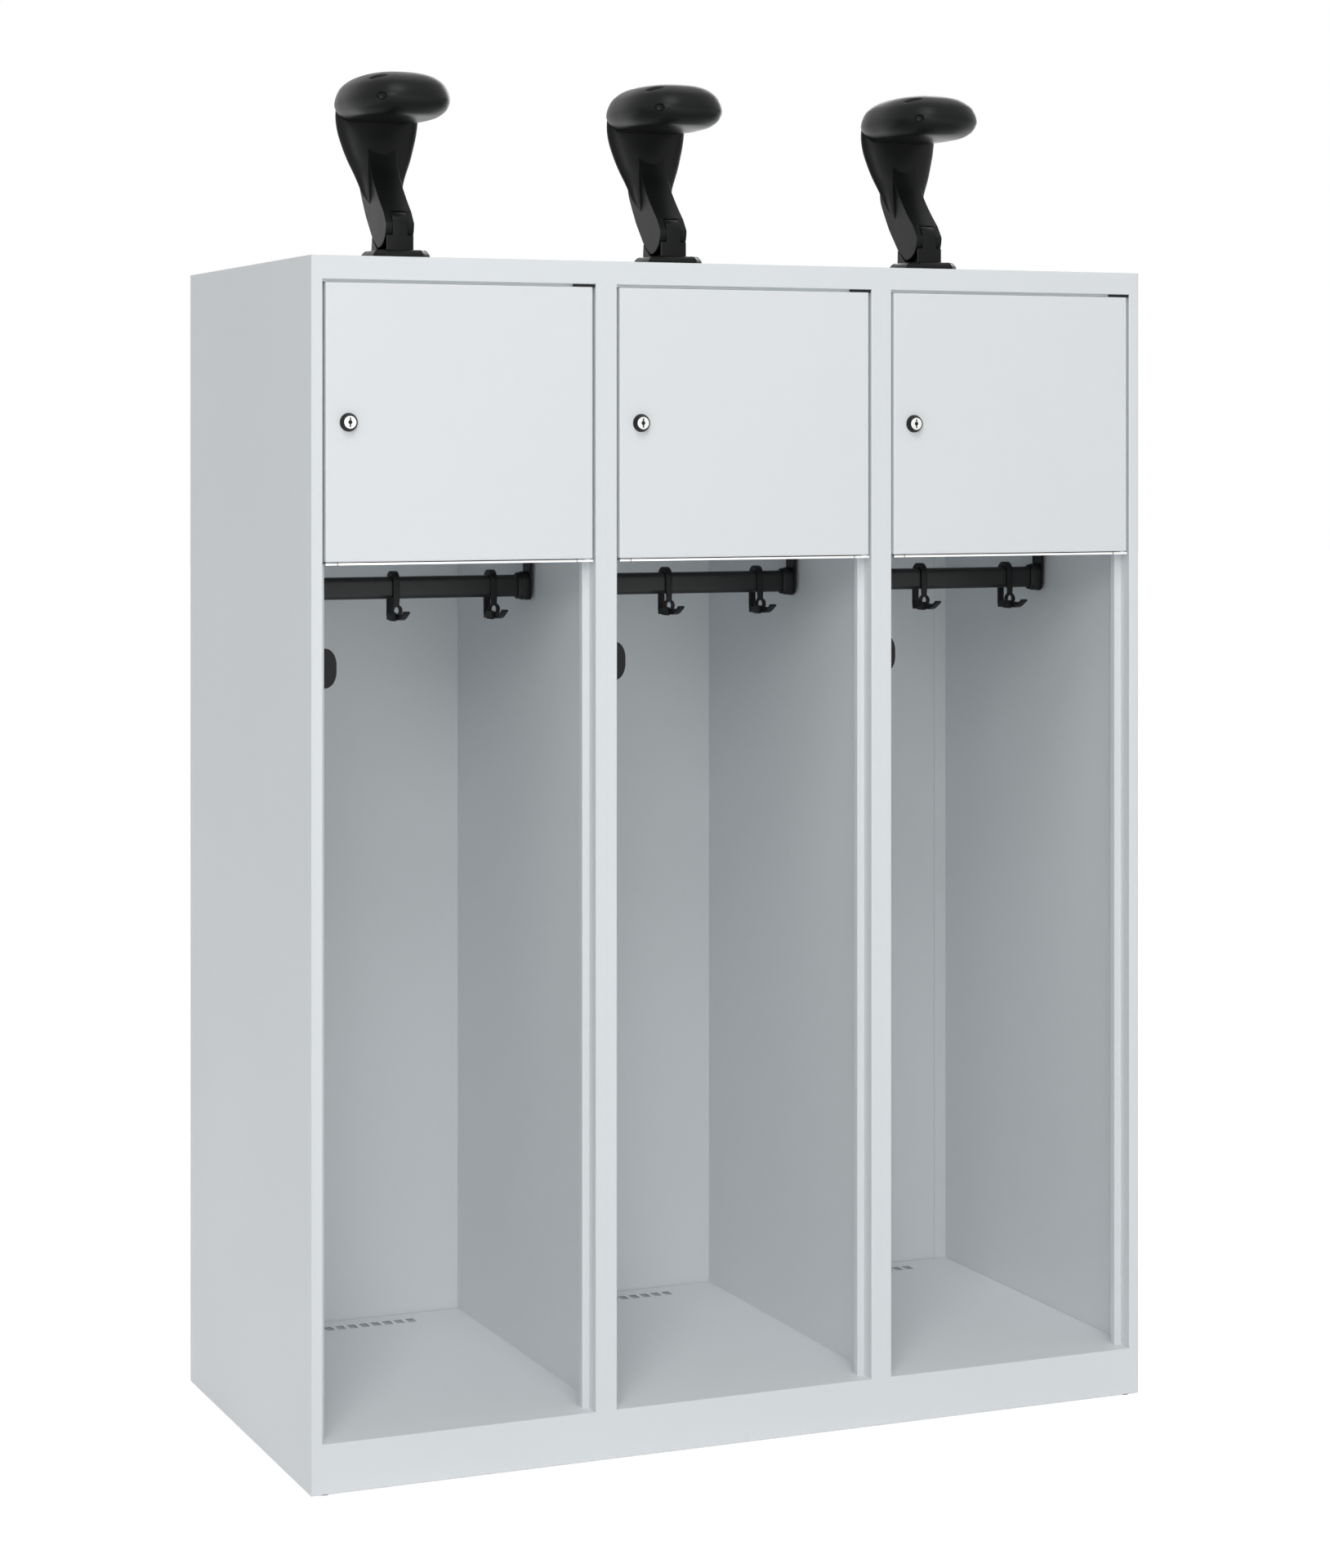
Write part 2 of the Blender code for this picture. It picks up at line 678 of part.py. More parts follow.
def make_hinge_bush(bay):
    # Plate under the front rail with the door's top pin through it
    room = DOOR_TOP_GAP - 2 * SEAM
    right = HINGE_INSET + DOOR_SIDE_GAP - SEAM
    front = BUSH_SETBACK - HINGE_DEPTH
    plate = box_mesh(
        "bush_plate", (right - BUSH_LENGTH, front, -room / 2), (right, front + BUSH_DEPTH, room / 2)
    )
    at = (bay * BAY_PITCH + HINGE_X, HINGE_DEPTH, DOOR_TOP + SEAM + room / 2)
    bush = add_part(f"hinge_bush_{bay + 1}", plate, plastic, corner, at)
    pin = cylinder_mesh("bush_pin", PIN_RADIUS, -PIN_REACH - room / 2, PIN_REACH + room / 2)
    boolean(bush, add_cutter(f"bush_pin_{bay + 1}", pin, corner, at), "UNION")


def make_door(bay):
    # A pan door that turns on pins at its right edge; coordinates are from its pivot
    number = bay + 1
    pivot_at = (bay * BAY_PITCH + HINGE_X, HINGE_DEPTH, DOOR_BOTTOM)
    pivot = new_empty(f"door_pivot_{number}", corner, pivot_at)
    left = HINGE_INSET - DOOR_WIDTH
    bm = bmesh.new()
    low = Vector((left, -HINGE_DEPTH, 0))
    high = Vector((HINGE_INSET, DOOR_THICKNESS - HINGE_DEPTH, DOOR_HEIGHT))
    place = Matrix.Translation((low + high) / 2) @ Matrix.Diagonal((*(high - low), 1))
    bmesh.ops.create_cube(bm, size=1, matrix=place)
    front = [e for e in bm.edges if min(v.co.y for v in e.verts) < low.y + SEAM]
    bmesh.ops.bevel(bm, geom=front, offset=DOOR_EDGE_RADIUS, segments=2, profile=0.5, affect="EDGES")
    door = add_part(f"door_{number}", mesh_from(bm, "door"), door_coat, pivot)
    sheet = Vector((SHEET, SHEET, SHEET))
    cavity = add_cutter(f"door_cavity_{number}", box_mesh("cavity", low + sheet, high - sheet), pivot)
    boolean(door, cavity)
    hem = Vector((DOOR_HEM, DOOR_THICKNESS / 2, DOOR_HEM))
    past = Vector((-DOOR_HEM, OVERRUN, -DOOR_HEM))
    boolean(door, add_cutter(f"door_mouth_{number}", box_mesh("mouth", low + hem, high + past), pivot))
    drill = cylinder_mesh("door_drill", PIN_HOLE, -OVERRUN, DOOR_HEIGHT + OVERRUN)
    boolean(door, add_cutter(f"door_drill_{number}", drill, pivot))
    lock_x = left + LOCK_INSET
    lock_at = (lock_x, -HINGE_DEPTH, DOOR_HEIGHT / 2)
    bore = cylinder_mesh("lock_bore", SLEEVE_RADIUS + SEAM, -OVERRUN, OVERRUN, ROUND_STEPS)
    boolean(door, add_cutter(f"lock_bore_{number}", bore, pivot, lock_at, ALONG_Y))
    make_lock(number, pivot, lock_at)


def make_lock(number, pivot, at):
    # Rosette clamped in the door by the nut on its sleeve, turning cylinder, and cam
    axis = new_empty(f"lock_axis_{number}", pivot, at)
    bore = BARREL_RADIUS + SEAM
    nut_front = -SHEET - SEAM
    rosette = [
        (bore, ROSETTE_PROUD),
        (ROSETTE_TIP_RADIUS, ROSETTE_PROUD),
        (ROSETTE_FOOT_RADIUS, SEAM),
        (SLEEVE_RADIUS, SEAM),
        (SLEEVE_RADIUS, nut_front),
        (NUT_RADIUS, nut_front),
        (NUT_RADIUS, nut_front - NUT_HEIGHT),
        (SLEEVE_RADIUS, nut_front - NUT_HEIGHT),
        (SLEEVE_RADIUS, -SLEEVE_REACH),
        (bore, -SLEEVE_REACH),
    ]
    turned_part(f"lock_rosette_{number}", rosette, ROUND_STEPS, plastic, axis, turn=ALONG_Y, closed=True)
    face = ROSETTE_PROUD - BARREL_RECESS
    shoulder = -CAM_SETBACK + SEAM
    stub_end = -CAM_SETBACK - CAM_THICKNESS
    barrel = [
        (0, face),
        (BARREL_RADIUS, face),
        (BARREL_RADIUS, shoulder),
        (CAM_STUB_RADIUS, shoulder),
        (CAM_STUB_RADIUS, stub_end),
        (0, stub_end),
    ]
    cylinder = turned_part(f"lock_cylinder_{number}", barrel, ROUND_STEPS, nickel, axis, turn=ALONG_Y)
    slot_low = (-KEYHOLE_WIDTH / 2, -face - OVERRUN, -KEYHOLE_HEIGHT / 2)
    slot_high = (KEYHOLE_WIDTH / 2, KEYHOLE_DEPTH - face, KEYHOLE_HEIGHT / 2)
    boolean(cylinder, add_cutter(f"key_slot_{number}", box_mesh("key_slot", slot_low, slot_high), axis))
    eye = cylinder_mesh("key_eye", KEYHOLE_EYE_RADIUS, face - KEYHOLE_DEPTH, face + OVERRUN)
    boolean(cylinder, add_cutter(f"key_eye_{number}", eye, axis, turn=ALONG_Y))
    tip = CAM_REACH - CAM_WIDTH / 2
    round_top = arc((0, 0), CAM_WIDTH / 2, 0, 180, ARC_STEPS * 2)
    round_tip = arc((0, -tip), CAM_WIDTH / 2, 180, 360, ARC_STEPS * 2)
    stub_hole = circle((0, 0), CAM_STUB_RADIUS + SEAM)
    cam = outline_mesh("cam", round_top + round_tip, [stub_hole], CAM_THICKNESS)
    cam_at = (0, CAM_SETBACK + CAM_THICKNESS / 2, 0)
    add_part(f"lock_cam_{number}", cam, zinc, axis, cam_at, ALONG_Y)


def make_rails():
    # Oval tubes from wall to wall, each end in a bracket's collar
    inner = (RAIL_DEPTH - 2 * RAIL_WALL, RAIL_HEIGHT - 2 * RAIL_WALL)
    inset = BRACKET_INSET + BRACKET_PLATE + SEAM
    for bay in range(BAY_COUNT):
        left_wall, right_wall = bay_walls(bay)
        length = right_wall - left_wall - 2 * inset
        tube = outline_mesh("tube", stadium(RAIL_DEPTH, RAIL_HEIGHT), [stadium(*inner)], length)
        middle = ((left_wall + right_wall) / 2, RAIL_SETBACK, RAIL_Z)
        add_part(f"garment_rail_{bay + 1}", tube, tube_coat, corner, middle, ALONG_X)


def make_brackets():
    # A strip that hangs from the shelf, and a collar round the tube's end
    radius = BRACKET_DEPTH / 2
    top = RAIL_BELOW_SHELF - SHEET - SEAM
    low = -(BRACKET_DROP - radius)
    strip_outline = [(radius, top), (-radius, top), *arc((0, low), radius, 180, 360, ARC_STEPS * 2)]
    strip = outline_mesh("strip", strip_outline, [], BRACKET_PLATE)
    strip_part = add_part("strip", strip, plastic, corner, turn=ALONG_X)
    collar_outer = stadium(RAIL_DEPTH + 2 * COLLAR_WALL, RAIL_HEIGHT + 2 * COLLAR_WALL)
    collar_inner = stadium(RAIL_DEPTH + 2 * SEAM, RAIL_HEIGHT + 2 * SEAM)
    collar = outline_mesh("collar", collar_outer, [collar_inner], COLLAR_LENGTH + BRACKET_PLATE / 2)
    ring = add_cutter("collar", collar, corner, (COLLAR_LENGTH / 2 + BRACKET_PLATE / 4, 0, 0), ALONG_X)
    boolean(strip_part, ring, "UNION")
    bracket = evaluated_mesh(strip_part)
    bpy.data.objects.remove(ring)
    bracket.transform(ALONG_X)
    smooth(bracket)
    about = Matrix.Rotation(math.pi, 4, "Z")
    offset = BRACKET_INSET + BRACKET_PLATE / 2
    for bay in range(BAY_COUNT):
        left_wall, right_wall = bay_walls(bay)
        left = (left_wall + offset, RAIL_SETBACK, RAIL_Z)
        right = (right_wall - offset, RAIL_SETBACK, RAIL_Z)
        add_part(f"rail_bracket_{bay + 1}_left", bracket, plastic, corner, left)
        add_part(f"rail_bracket_{bay + 1}_right", bracket, plastic, corner, right, about)


def hook_mesh():
    # Side view (y, z) from the tube's centre: a band round the tube that ends in a boat-shaped arm
    rail_top = RAIL_HEIGHT / 2
    tube_radius = RAIL_DEPTH / 2
    leg_in = tube_radius + SEAM
    leg_out = leg_in + HOOK_LEG
    rear_in = HOOK_REAR_REACH - HOOK_REAR_LEG
    rise = rail_top - tube_radius
    crown_top = rail_top + SEAM + HOOK_CROWN
    bottom = -rail_top - HOOK_DROP
    arm_top = bottom + HOOK_ARM_HEIGHT
    tip_top = arm_top + HOOK_TIP_RISE
    tip_back = -HOOK_TIP_REACH + HOOK_TIP_LENGTH
    crown_middle = (HOOK_REAR_REACH - leg_out) / 2
    crown_half = (HOOK_REAR_REACH + leg_out) / 2
    saddle = [(tip_back, tip_top), (tip_back + HOOK_TIP_RISE, arm_top), (-leg_out, arm_top)]
    crown = arc((crown_middle, rise), crown_half, 180, 0, ARC_STEPS * 2, crown_top - rise)
    heel = arc((HOOK_REAR_REACH - HOOK_LEG, bottom + HOOK_LEG), HOOK_LEG, 0, -90)
    bow_radius = HOOK_TIP_REACH / 3
    bow_rise = tip_top - bottom
    bow = arc((-HOOK_TIP_REACH + bow_radius, tip_top), bow_radius, 270, 180, ARC_STEPS, bow_rise)
    inner = arc((0, rise), leg_in, 180, 90)
    inner += arc((rear_in - leg_in, rise), leg_in, 90, 0)
    inner += [(rear_in, arm_top), (-leg_in, arm_top)]
    band = outline_mesh("hook_band", saddle + crown + heel + bow, [inner], HOOK_WIDTH)
    hook = add_part("hook_band", band, plastic, corner, turn=ALONG_X)
    eye_z = -rail_top - HOOK_EYE_DROP
    eye_half = HOOK_EYE_THICKNESS / 2
    disc = cylinder_mesh("eye", HOOK_EYE_RADIUS, -eye_half, eye_half, ROUND_STEPS)
    eye_at = (0, -(leg_in + leg_out) / 2, eye_z)
    eye = add_cutter("eye", disc, corner, eye_at, ALONG_Y)
    boolean(hook, eye, "UNION")
    drill = cylinder_mesh("eye_hole", HOOK_EYE_HOLE, -HOOK_EYE_THICKNESS, HOOK_EYE_THICKNESS)
    hole = add_cutter("eye_hole", drill, corner, eye_at, ALONG_Y)
    boolean(hook, hole)
    mesh = evaluated_mesh(hook)
    bpy.data.objects.remove(eye)
    bpy.data.objects.remove(hole)
    mesh.transform(ALONG_X)
    return smooth(mesh)


def make_hooks():
    shared = hook_mesh()
    for bay in range(BAY_COUNT):
        for i in range(HOOKS_PER_RAIL):
            x = (bay + 0.5) * BAY_PITCH + (i - (HOOKS_PER_RAIL - 1) / 2) * HOOK_SPACING
            name = f"hook_{bay + 1}_{i + 1}"
            add_part(name, shared, plastic, corner, (x, RAIL_SETBACK, RAIL_Z))


def make_belt_hooks():
    # Wall plate, rounded front plate, saddle arm and rear lip, moulded in one
    half = BELT_HOOK_HEIGHT / 2
    centre = (BELT_HOOK_REACH - BELT_CORNER_ACROSS, half - BELT_CORNER_UP)
    lower = arc((centre[0], -centre[1]), BELT_CORNER_ACROSS, -90, 0, ARC_STEPS, BELT_CORNER_UP)
    upper = arc(centre, BELT_CORNER_ACROSS, 0, 90, ARC_STEPS, BELT_CORNER_UP)
    front = outline_mesh("belt_front", [(0, -half), *lower, *upper, (0, half)], [], BELT_PLATE)
    hook = add_part("belt_front", front, plastic, corner, (0, BELT_PLATE / 2, 0), ALONG_Y)
    wall = box_mesh("belt_wall", (0, BELT_PLATE / 2, -half), (BELT_PLATE, BELT_HOOK_DEPTH, half))
    arm_top = -BELT_ARM_DROP
    arm_low = arm_top - BELT_ARM_HEIGHT
    arm_end = BELT_HOOK_DEPTH - BELT_PLATE
    arm_start = (BELT_PLATE / 2, BELT_PLATE / 2, arm_low)
    arm = box_mesh("belt_arm", arm_start, (BELT_ARM_LENGTH, arm_end, arm_top))
    lip_low = (BELT_PLATE / 2, arm_end - BELT_PLATE, arm_low + BELT_PLATE)
    lip_high = (BELT_ARM_LENGTH - BELT_PLATE, arm_end - SEAM, arm_top + BELT_LIP_RISE)
    lip = box_mesh("belt_lip", lip_low, lip_high)
    extras = [add_cutter(mesh.name, mesh, corner) for mesh in (wall, arm, lip)]
    for extra in extras:
        boolean(hook, extra, "UNION")
    mesh = evaluated_mesh(hook)
    for extra in extras:
        bpy.data.objects.remove(extra)
    mesh.transform(Matrix.Translation((0, BELT_PLATE / 2, 0)) @ ALONG_Y)
    smooth(mesh)
    for bay in range(BAY_COUNT):
        at = (bay_walls(bay)[0] + SEAM, BELT_HOOK_SETBACK, BELT_HOOK_CENTRE)
        add_part(f"belt_hook_{bay + 1}", mesh, plastic, corner, at)


def base_plate_mesh():
    # Octagonal plate with a chamfered top edge, over the pivot's foot point
    half = HOLDER_BASE_SIZE / 2
    short = half - HOLDER_BASE_CORNER
    corners = [(half, -short), (half, short), (short, half), (-short, half)]
    corners += [(-x, -y) for x, y in corners]
    outline = [(x, y + HOLDER_BASE_OFFSET) for x, y in corners]
    height = HOLDER_BASE_HEIGHT - SEAM
    mesh = outline_mesh("holder_plate", outline, [], height)
    bm = bmesh.new()
    bm.from_mesh(mesh)
    bmesh.ops.dissolve_limit(bm, angle_limit=FLAT_ANGLE, verts=bm.verts, edges=bm.edges)
    top = [e for e in bm.edges if min(v.co.z for v in e.verts) > height / 2 - SEAM]
    bmesh.ops.bevel(bm, geom=top, offset=HOLDER_BASE_CHAMFER, segments=1, affect="EDGES")
    bm.to_mesh(mesh)
    bm.free()
    mesh.transform(Matrix.Translation((0, 0, SEAM + height / 2)))
    return mesh


def make_holder_base(bay, foot):
    # Plate screwed through the roof, centre knuckle with its pin, front cheek and the rear
    # block that the arm's heel rests on
    number = bay + 1
    base = add_part(f"helmet_base_{number}", base_plate_mesh(), plastic, foot)
    plate_middle = HOLDER_BASE_HEIGHT / 2
    round_top = arc((0, PIVOT_HEIGHT), KNUCKLE_RADIUS, 0, 180, ARC_STEPS * 2)
    neck = [(-KNUCKLE_RADIUS, plate_middle), (KNUCKLE_RADIUS, plate_middle)]
    knuckle = outline_mesh("knuckle", round_top + neck, [], KNUCKLE_WIDTH)
    boolean(base, add_cutter(f"knuckle_{number}", knuckle, foot, turn=ALONG_X), "UNION")
    cheek_top = PIVOT_HEIGHT - KNUCKLE_RADIUS - CHEEK_STEP
    cheek_front = -KNUCKLE_RADIUS - CHEEK_THICKNESS / 3
    cheek_low = (-CHEEK_WIDTH / 2, cheek_front, plate_middle)
    cheek_high = (CHEEK_WIDTH / 2, cheek_front + CHEEK_THICKNESS, cheek_top)
    boolean(base, add_cutter(f"cheek_{number}", box_mesh("cheek", cheek_low, cheek_high), foot), "UNION")
    rest = outline_mesh("heel_rest", heel_rest_outline(), [], HEEL_REST_WIDTH)
    boolean(base, add_cutter(f"heel_rest_{number}", rest, foot, turn=ALONG_X), "UNION")
    pin = cylinder_mesh("pivot_pin", PIVOT_PIN_RADIUS, -PIVOT_PIN_LENGTH / 2, PIVOT_PIN_LENGTH / 2)
    pin_at = (0, 0, PIVOT_HEIGHT)
    boolean(base, add_cutter(f"pivot_pin_{number}", pin, foot, pin_at, ALONG_X), "UNION")
    under = -SHEET - SEAM
    profile = [
        (0, SCREW_REACH),
        (SCREW_RADIUS, SCREW_REACH),
        (SCREW_RADIUS, under),
        (SCREW_HEAD_RADIUS, under),
        (SCREW_HEAD_RADIUS, under - SCREW_HEAD_HEIGHT),
        (0, under - SCREW_HEAD_HEIGHT),
    ]
    for side in (-1, 1):
        screw = evaluated_mesh(turned_part("screw", profile, SMALL_STEPS, plastic, foot))
        screw_at = (side * SCREW_SPREAD / 2, HOLDER_BASE_OFFSET, 0)
        boolean(base, add_cutter(f"screw_{number}", screw, foot, screw_at), "UNION")


def heel_rest_outline():
    # The arm's heel line, set off by the jaw clearance and closed down into the plate
    (y0, z0), (y1, z1) = heel_line()
    length = math.hypot(y1 - y0, z1 - z0)
    down = JAW_CLEARANCE * (y1 - y0) / length
    back = JAW_CLEARANCE * (z1 - z0) / length
    floor = HOLDER_BASE_HEIGHT / 2
    slope = (y1 - y0) / (z1 - z0)
    foot_y = y0 + back - (z0 - down - HOLDER_BASE_HEIGHT) * slope
    rear_y = HOLDER_BASE_SIZE / 2 + HOLDER_BASE_OFFSET - HOLDER_BASE_CHAMFER / 2
    return [
        (foot_y, floor),
        (rear_y, floor),
        (rear_y, HOLDER_BASE_HEIGHT),
        (y1 + back, z1 - down),
        (foot_y, HOLDER_BASE_HEIGHT),
    ]


def scaled(shares):
    return [(y * ARM_SWEEP_HEIGHT, z * ARM_SWEEP_HEIGHT) for y, z in shares]


def heel_line():
    return scaled(HEEL_SHARES)


def ring_loft(name, rings):
    # A closed skin through rings of equal point counts, capped at both ends
    bm = bmesh.new()
    loops = [[bm.verts.new(point) for point in ring] for ring in rings]
    count = len(loops[0])
    for lower, upper in zip(loops, loops[1:]):
        for i in range(count):
            j = (i + 1) % count
            bm.faces.new((lower[i], lower[j], upper[j], upper[i]))
    bm.faces.new(list(reversed(loops[0])))
    bm.faces.new(loops[-1])
    bmesh.ops.recalc_face_normals(bm, faces=bm.faces)
    return smooth(mesh_from(bm, name))


def superellipse(half_x, half_y, centre_y, z, power, steps):
    # Points of |x/a|^p + |y/b|^p = 1
    points = []
    for i in range(steps):
        c = math.cos(math.tau * i / steps)
        s = math.sin(math.tau * i / steps)
        x = half_x * math.copysign(abs(c) ** (2 / power), c)
        y = centre_y + half_y * math.copysign(abs(s) ** (2 / power), s)
        points.append((x, y, z))
    return points


def neck_mesh():
    rings = []
    for up, back, wide, deep in NECK_SHARES:
        half_x = wide * NECK_HALF_WIDTH
        half_y = deep * NECK_HALF_DEPTH
        z = up * ARM_SWEEP_HEIGHT - PIVOT_HEIGHT
        rings.append(superellipse(half_x, half_y, back * ARM_SWEEP_HEIGHT, z, 2, NECK_STEPS))
    return ring_loft("neck", rings)


def head_mesh(grow=0):
    # The head, or the head grown all round by a clearance
    rings = []
    for wide, up in HEAD_SHARES:
        z = HEAD_BOTTOM + up * HEAD_HEIGHT - PIVOT_HEIGHT - grow
        half_x = wide * HEAD_HALF_WIDTH + grow
        half_y = wide * HEAD_HALF_LENGTH + grow
        rings.append(superellipse(half_x, half_y, HEAD_OFFSET, z, HEAD_POWER, HEAD_STEPS))
    return ring_loft("head", rings)


def make_holder_arm(bay, foot, pivot):
    # Leg with its jaw round the knuckle, and the neck that widens up to the head's underside
    number = bay + 1
    heel = heel_line()
    start = math.radians(180)
    toe_y, toe_z = heel[0][0], heel[0][1] - PIVOT_HEIGHT
    toe_radius = math.hypot(toe_y, toe_z)
    end = math.atan2(toe_z, toe_y) + math.tau
    lobe = []
    steps = ARC_STEPS * 2
    for i in range(steps + 1):
        share = i / steps
        turn = start + (end - start) * share
        radius = KNUCKLE_RADIUS + (toe_radius - KNUCKLE_RADIUS) * share ** LOBE_POWER
        lobe.append((radius * math.cos(turn), PIVOT_HEIGHT + radius * math.sin(turn)))
    outline = lobe + heel[1:] + scaled(ARM_REAR_SHARES) + scaled(reversed(ARM_FRONT_SHARES))
    leg = outline_mesh("leg", outline, [], ARM_WIDTH)
    drop = Matrix.Translation((0, 0, -PIVOT_HEIGHT))
    leg.transform(drop @ ALONG_X)
    arm = add_part(f"helmet_arm_{number}", leg, plastic, pivot)
    skirt = add_cutter(f"neck_{number}", neck_mesh(), pivot)
    (y0, z0), (y1, z1) = scaled(NECK_CUT_SHARES)
    slope = math.atan2(z1 - z0, y1 - y0)
    cut_size = ARM_SWEEP_HEIGHT
    trim_mesh = box_mesh("neck_trim", (-cut_size, -cut_size, -cut_size), (cut_size, cut_size, 0))
    trim_at = (0, y0, z0 - PIVOT_HEIGHT)
    trim = add_cutter(f"neck_trim_{number}", trim_mesh, pivot, trim_at, Matrix.Rotation(slope, 4, "X"))
    boolean(skirt, trim)
    boolean(arm, skirt, "UNION")
    boolean(arm, add_cutter(f"head_seat_{number}", head_mesh(SEAM), pivot))
    jaw_half = KNUCKLE_WIDTH / 2 + SIDE_CLEARANCE
    jaw_reach = KNUCKLE_RADIUS + JAW_CLEARANCE
    jaw_low = (-jaw_half, -PIVOT_HEIGHT, -PIVOT_HEIGHT)
    jaw_high = (jaw_half, jaw_reach, jaw_reach)
    boolean(arm, add_cutter(f"jaw_{number}", box_mesh("jaw", jaw_low, jaw_high), pivot))
    pin_half = PIVOT_PIN_LENGTH / 2 + SEAM
    drill = cylinder_mesh("jaw_drill", PIVOT_HOLE, -pin_half, pin_half)
    boolean(arm, add_cutter(f"jaw_drill_{number}", drill, pivot, turn=ALONG_X))


def make_holder_head(bay, pivot):
    # Long rounded head that a helmet sits on, with a slot and a dimple in its front left
    number = bay + 1
    head = add_part(f"helmet_head_{number}", head_mesh(), plastic, pivot)
    slot = outline_mesh("head_slot", stadium(HEAD_SLOT_WIDTH, HEAD_SLOT_LENGTH), [], HEAD_SLOT_DEPTH)
    slot_at = (
        -SLOT_OUT_SHARE * HEAD_HALF_WIDTH,
        HEAD_OFFSET - SLOT_FRONT_SHARE * HEAD_HALF_LENGTH,
        HEAD_BOTTOM + SLOT_UP_SHARE * HEAD_HEIGHT - PIVOT_HEIGHT,
    )
    dimple = cylinder_mesh("dimple", HEAD_DIMPLE_RADIUS, -HEAD_DIMPLE_DEPTH, HEAD_DIMPLE_DEPTH)
    dimple_at = (
        -DIMPLE_OUT_SHARE * HEAD_HALF_WIDTH,
        HEAD_OFFSET - DIMPLE_FRONT_SHARE * HEAD_HALF_LENGTH,
        HEAD_BOTTOM + DIMPLE_UP_SHARE * HEAD_HEIGHT - PIVOT_HEIGHT,
    )
    details = [
        (slot, Matrix.Translation(slot_at) @ Matrix.Rotation(SLOT_TURN, 4, "Z")),
        (dimple, Matrix.Translation(dimple_at) @ Matrix.Rotation(DIMPLE_TURN, 4, "Z") @ ALONG_Y),
    ]
    boolean(head, add_cutter(f"head_details_{number}", joined_mesh("head_details", details), pivot))


def make_helmet_holders():
    for bay in range(BAY_COUNT):
        foot = new_empty(
            f"holder_foot_{bay + 1}", corner, ((bay + 0.5) * BAY_PITCH, HOLDER_SETBACK, CABINET_HEIGHT)
        )
        pivot = new_empty(f"holder_pivot_{bay + 1}", foot, (0, 0, PIVOT_HEIGHT))
        make_holder_base(bay, foot)
        make_holder_arm(bay, foot, pivot)
        make_holder_head(bay, pivot)


for leftover in list(bpy.data.objects):
    bpy.data.objects.remove(leftover)

parts = new_collection("gear_locker")
cutters = new_collection("cutters")
coat = new_material("light_grey_powder_coat", (0.66, 0.68, 0.69), 0.45, 0.0)
door_coat = new_material("light_grey_powder_coat_doors", (0.66, 0.68, 0.69), 0.42, 0.0)
plastic = new_material("black_plastic", (0.02, 0.02, 0.02), 0.5, 0.0)
tube_coat = new_material("black_powder_coat", (0.018, 0.019, 0.02), 0.4, 0.0)
nickel = new_material("polished_nickel", (0.85, 0.85, 0.84), 0.2, 1.0)
zinc = new_material("zinc_plated_steel", (0.60, 0.61, 0.62), 0.4, 1.0)

corner = bpy.data.objects.new("cabinet_corner", None)
parts.objects.link(corner)
corner.location = (-WIDTH / 2, FRONT_Y, FOOT_PROUD)

make_side_panels()
make_dividers()
make_roof()
make_base()
make_back()
make_feet()
make_rails()
make_brackets()
make_hooks()
make_belt_hooks()
make_helmet_holders()
for bay_index in range(BAY_COUNT):
    make_shelf(bay_index)
    make_hinge_bush(bay_index)
    make_door(bay_index)
bpy.context.view_layer.update()
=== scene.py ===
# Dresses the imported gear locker: folded steel with rounded bends, black moulded fittings, a pale
# studio.
# Lengths are in metres. Pieces are worked out from the cabinet's lower front left corner, in
# (across, deep, up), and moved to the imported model's frame when they are made.

import json
import math

import bmesh
import bpy
import numpy as np
from mathutils import Matrix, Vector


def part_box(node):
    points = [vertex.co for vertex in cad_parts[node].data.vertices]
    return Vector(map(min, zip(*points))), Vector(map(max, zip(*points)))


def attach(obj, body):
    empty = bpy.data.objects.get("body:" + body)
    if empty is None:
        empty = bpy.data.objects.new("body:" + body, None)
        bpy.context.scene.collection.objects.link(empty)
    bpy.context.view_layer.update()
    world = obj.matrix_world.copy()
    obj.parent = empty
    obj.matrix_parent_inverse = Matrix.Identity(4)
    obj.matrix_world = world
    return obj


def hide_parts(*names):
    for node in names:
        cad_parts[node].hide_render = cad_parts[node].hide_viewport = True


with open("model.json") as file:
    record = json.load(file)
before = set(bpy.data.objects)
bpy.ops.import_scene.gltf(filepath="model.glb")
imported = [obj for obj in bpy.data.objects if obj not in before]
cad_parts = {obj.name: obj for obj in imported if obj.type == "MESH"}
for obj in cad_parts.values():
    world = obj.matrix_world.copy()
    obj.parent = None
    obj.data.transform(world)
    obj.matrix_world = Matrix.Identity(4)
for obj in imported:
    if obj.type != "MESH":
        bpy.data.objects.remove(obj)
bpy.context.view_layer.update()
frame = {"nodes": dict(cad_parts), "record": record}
corner = np.array(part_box("left_side_panel")[0])

cabinet = {
    "bays": 3, "pitch": 0.400, "depth": 0.550, "height": 1.550, "sheet": 0.001, "innerBend": 0.0004,
    "seam": 0.0003, "seamShown": 0.00005, "stileFace": 0.015, "railFace": 0.030,
    "rebateDepth": 0.0228, "stopWidth": 0.0094, "stopReturn": 0.0111, "railLip": 0.009,
    "rearFlange": 0.020, "baseHeight": 0.063, "baseLip": 0.025, "support": 0.00006, "skin": 0.00152,
    "weldDepth": 0.00001,
}
sheet, seam, pitch = cabinet["sheet"], cabinet["seam"], cabinet["pitch"]
support, bays = cabinet["support"], range(cabinet["bays"])
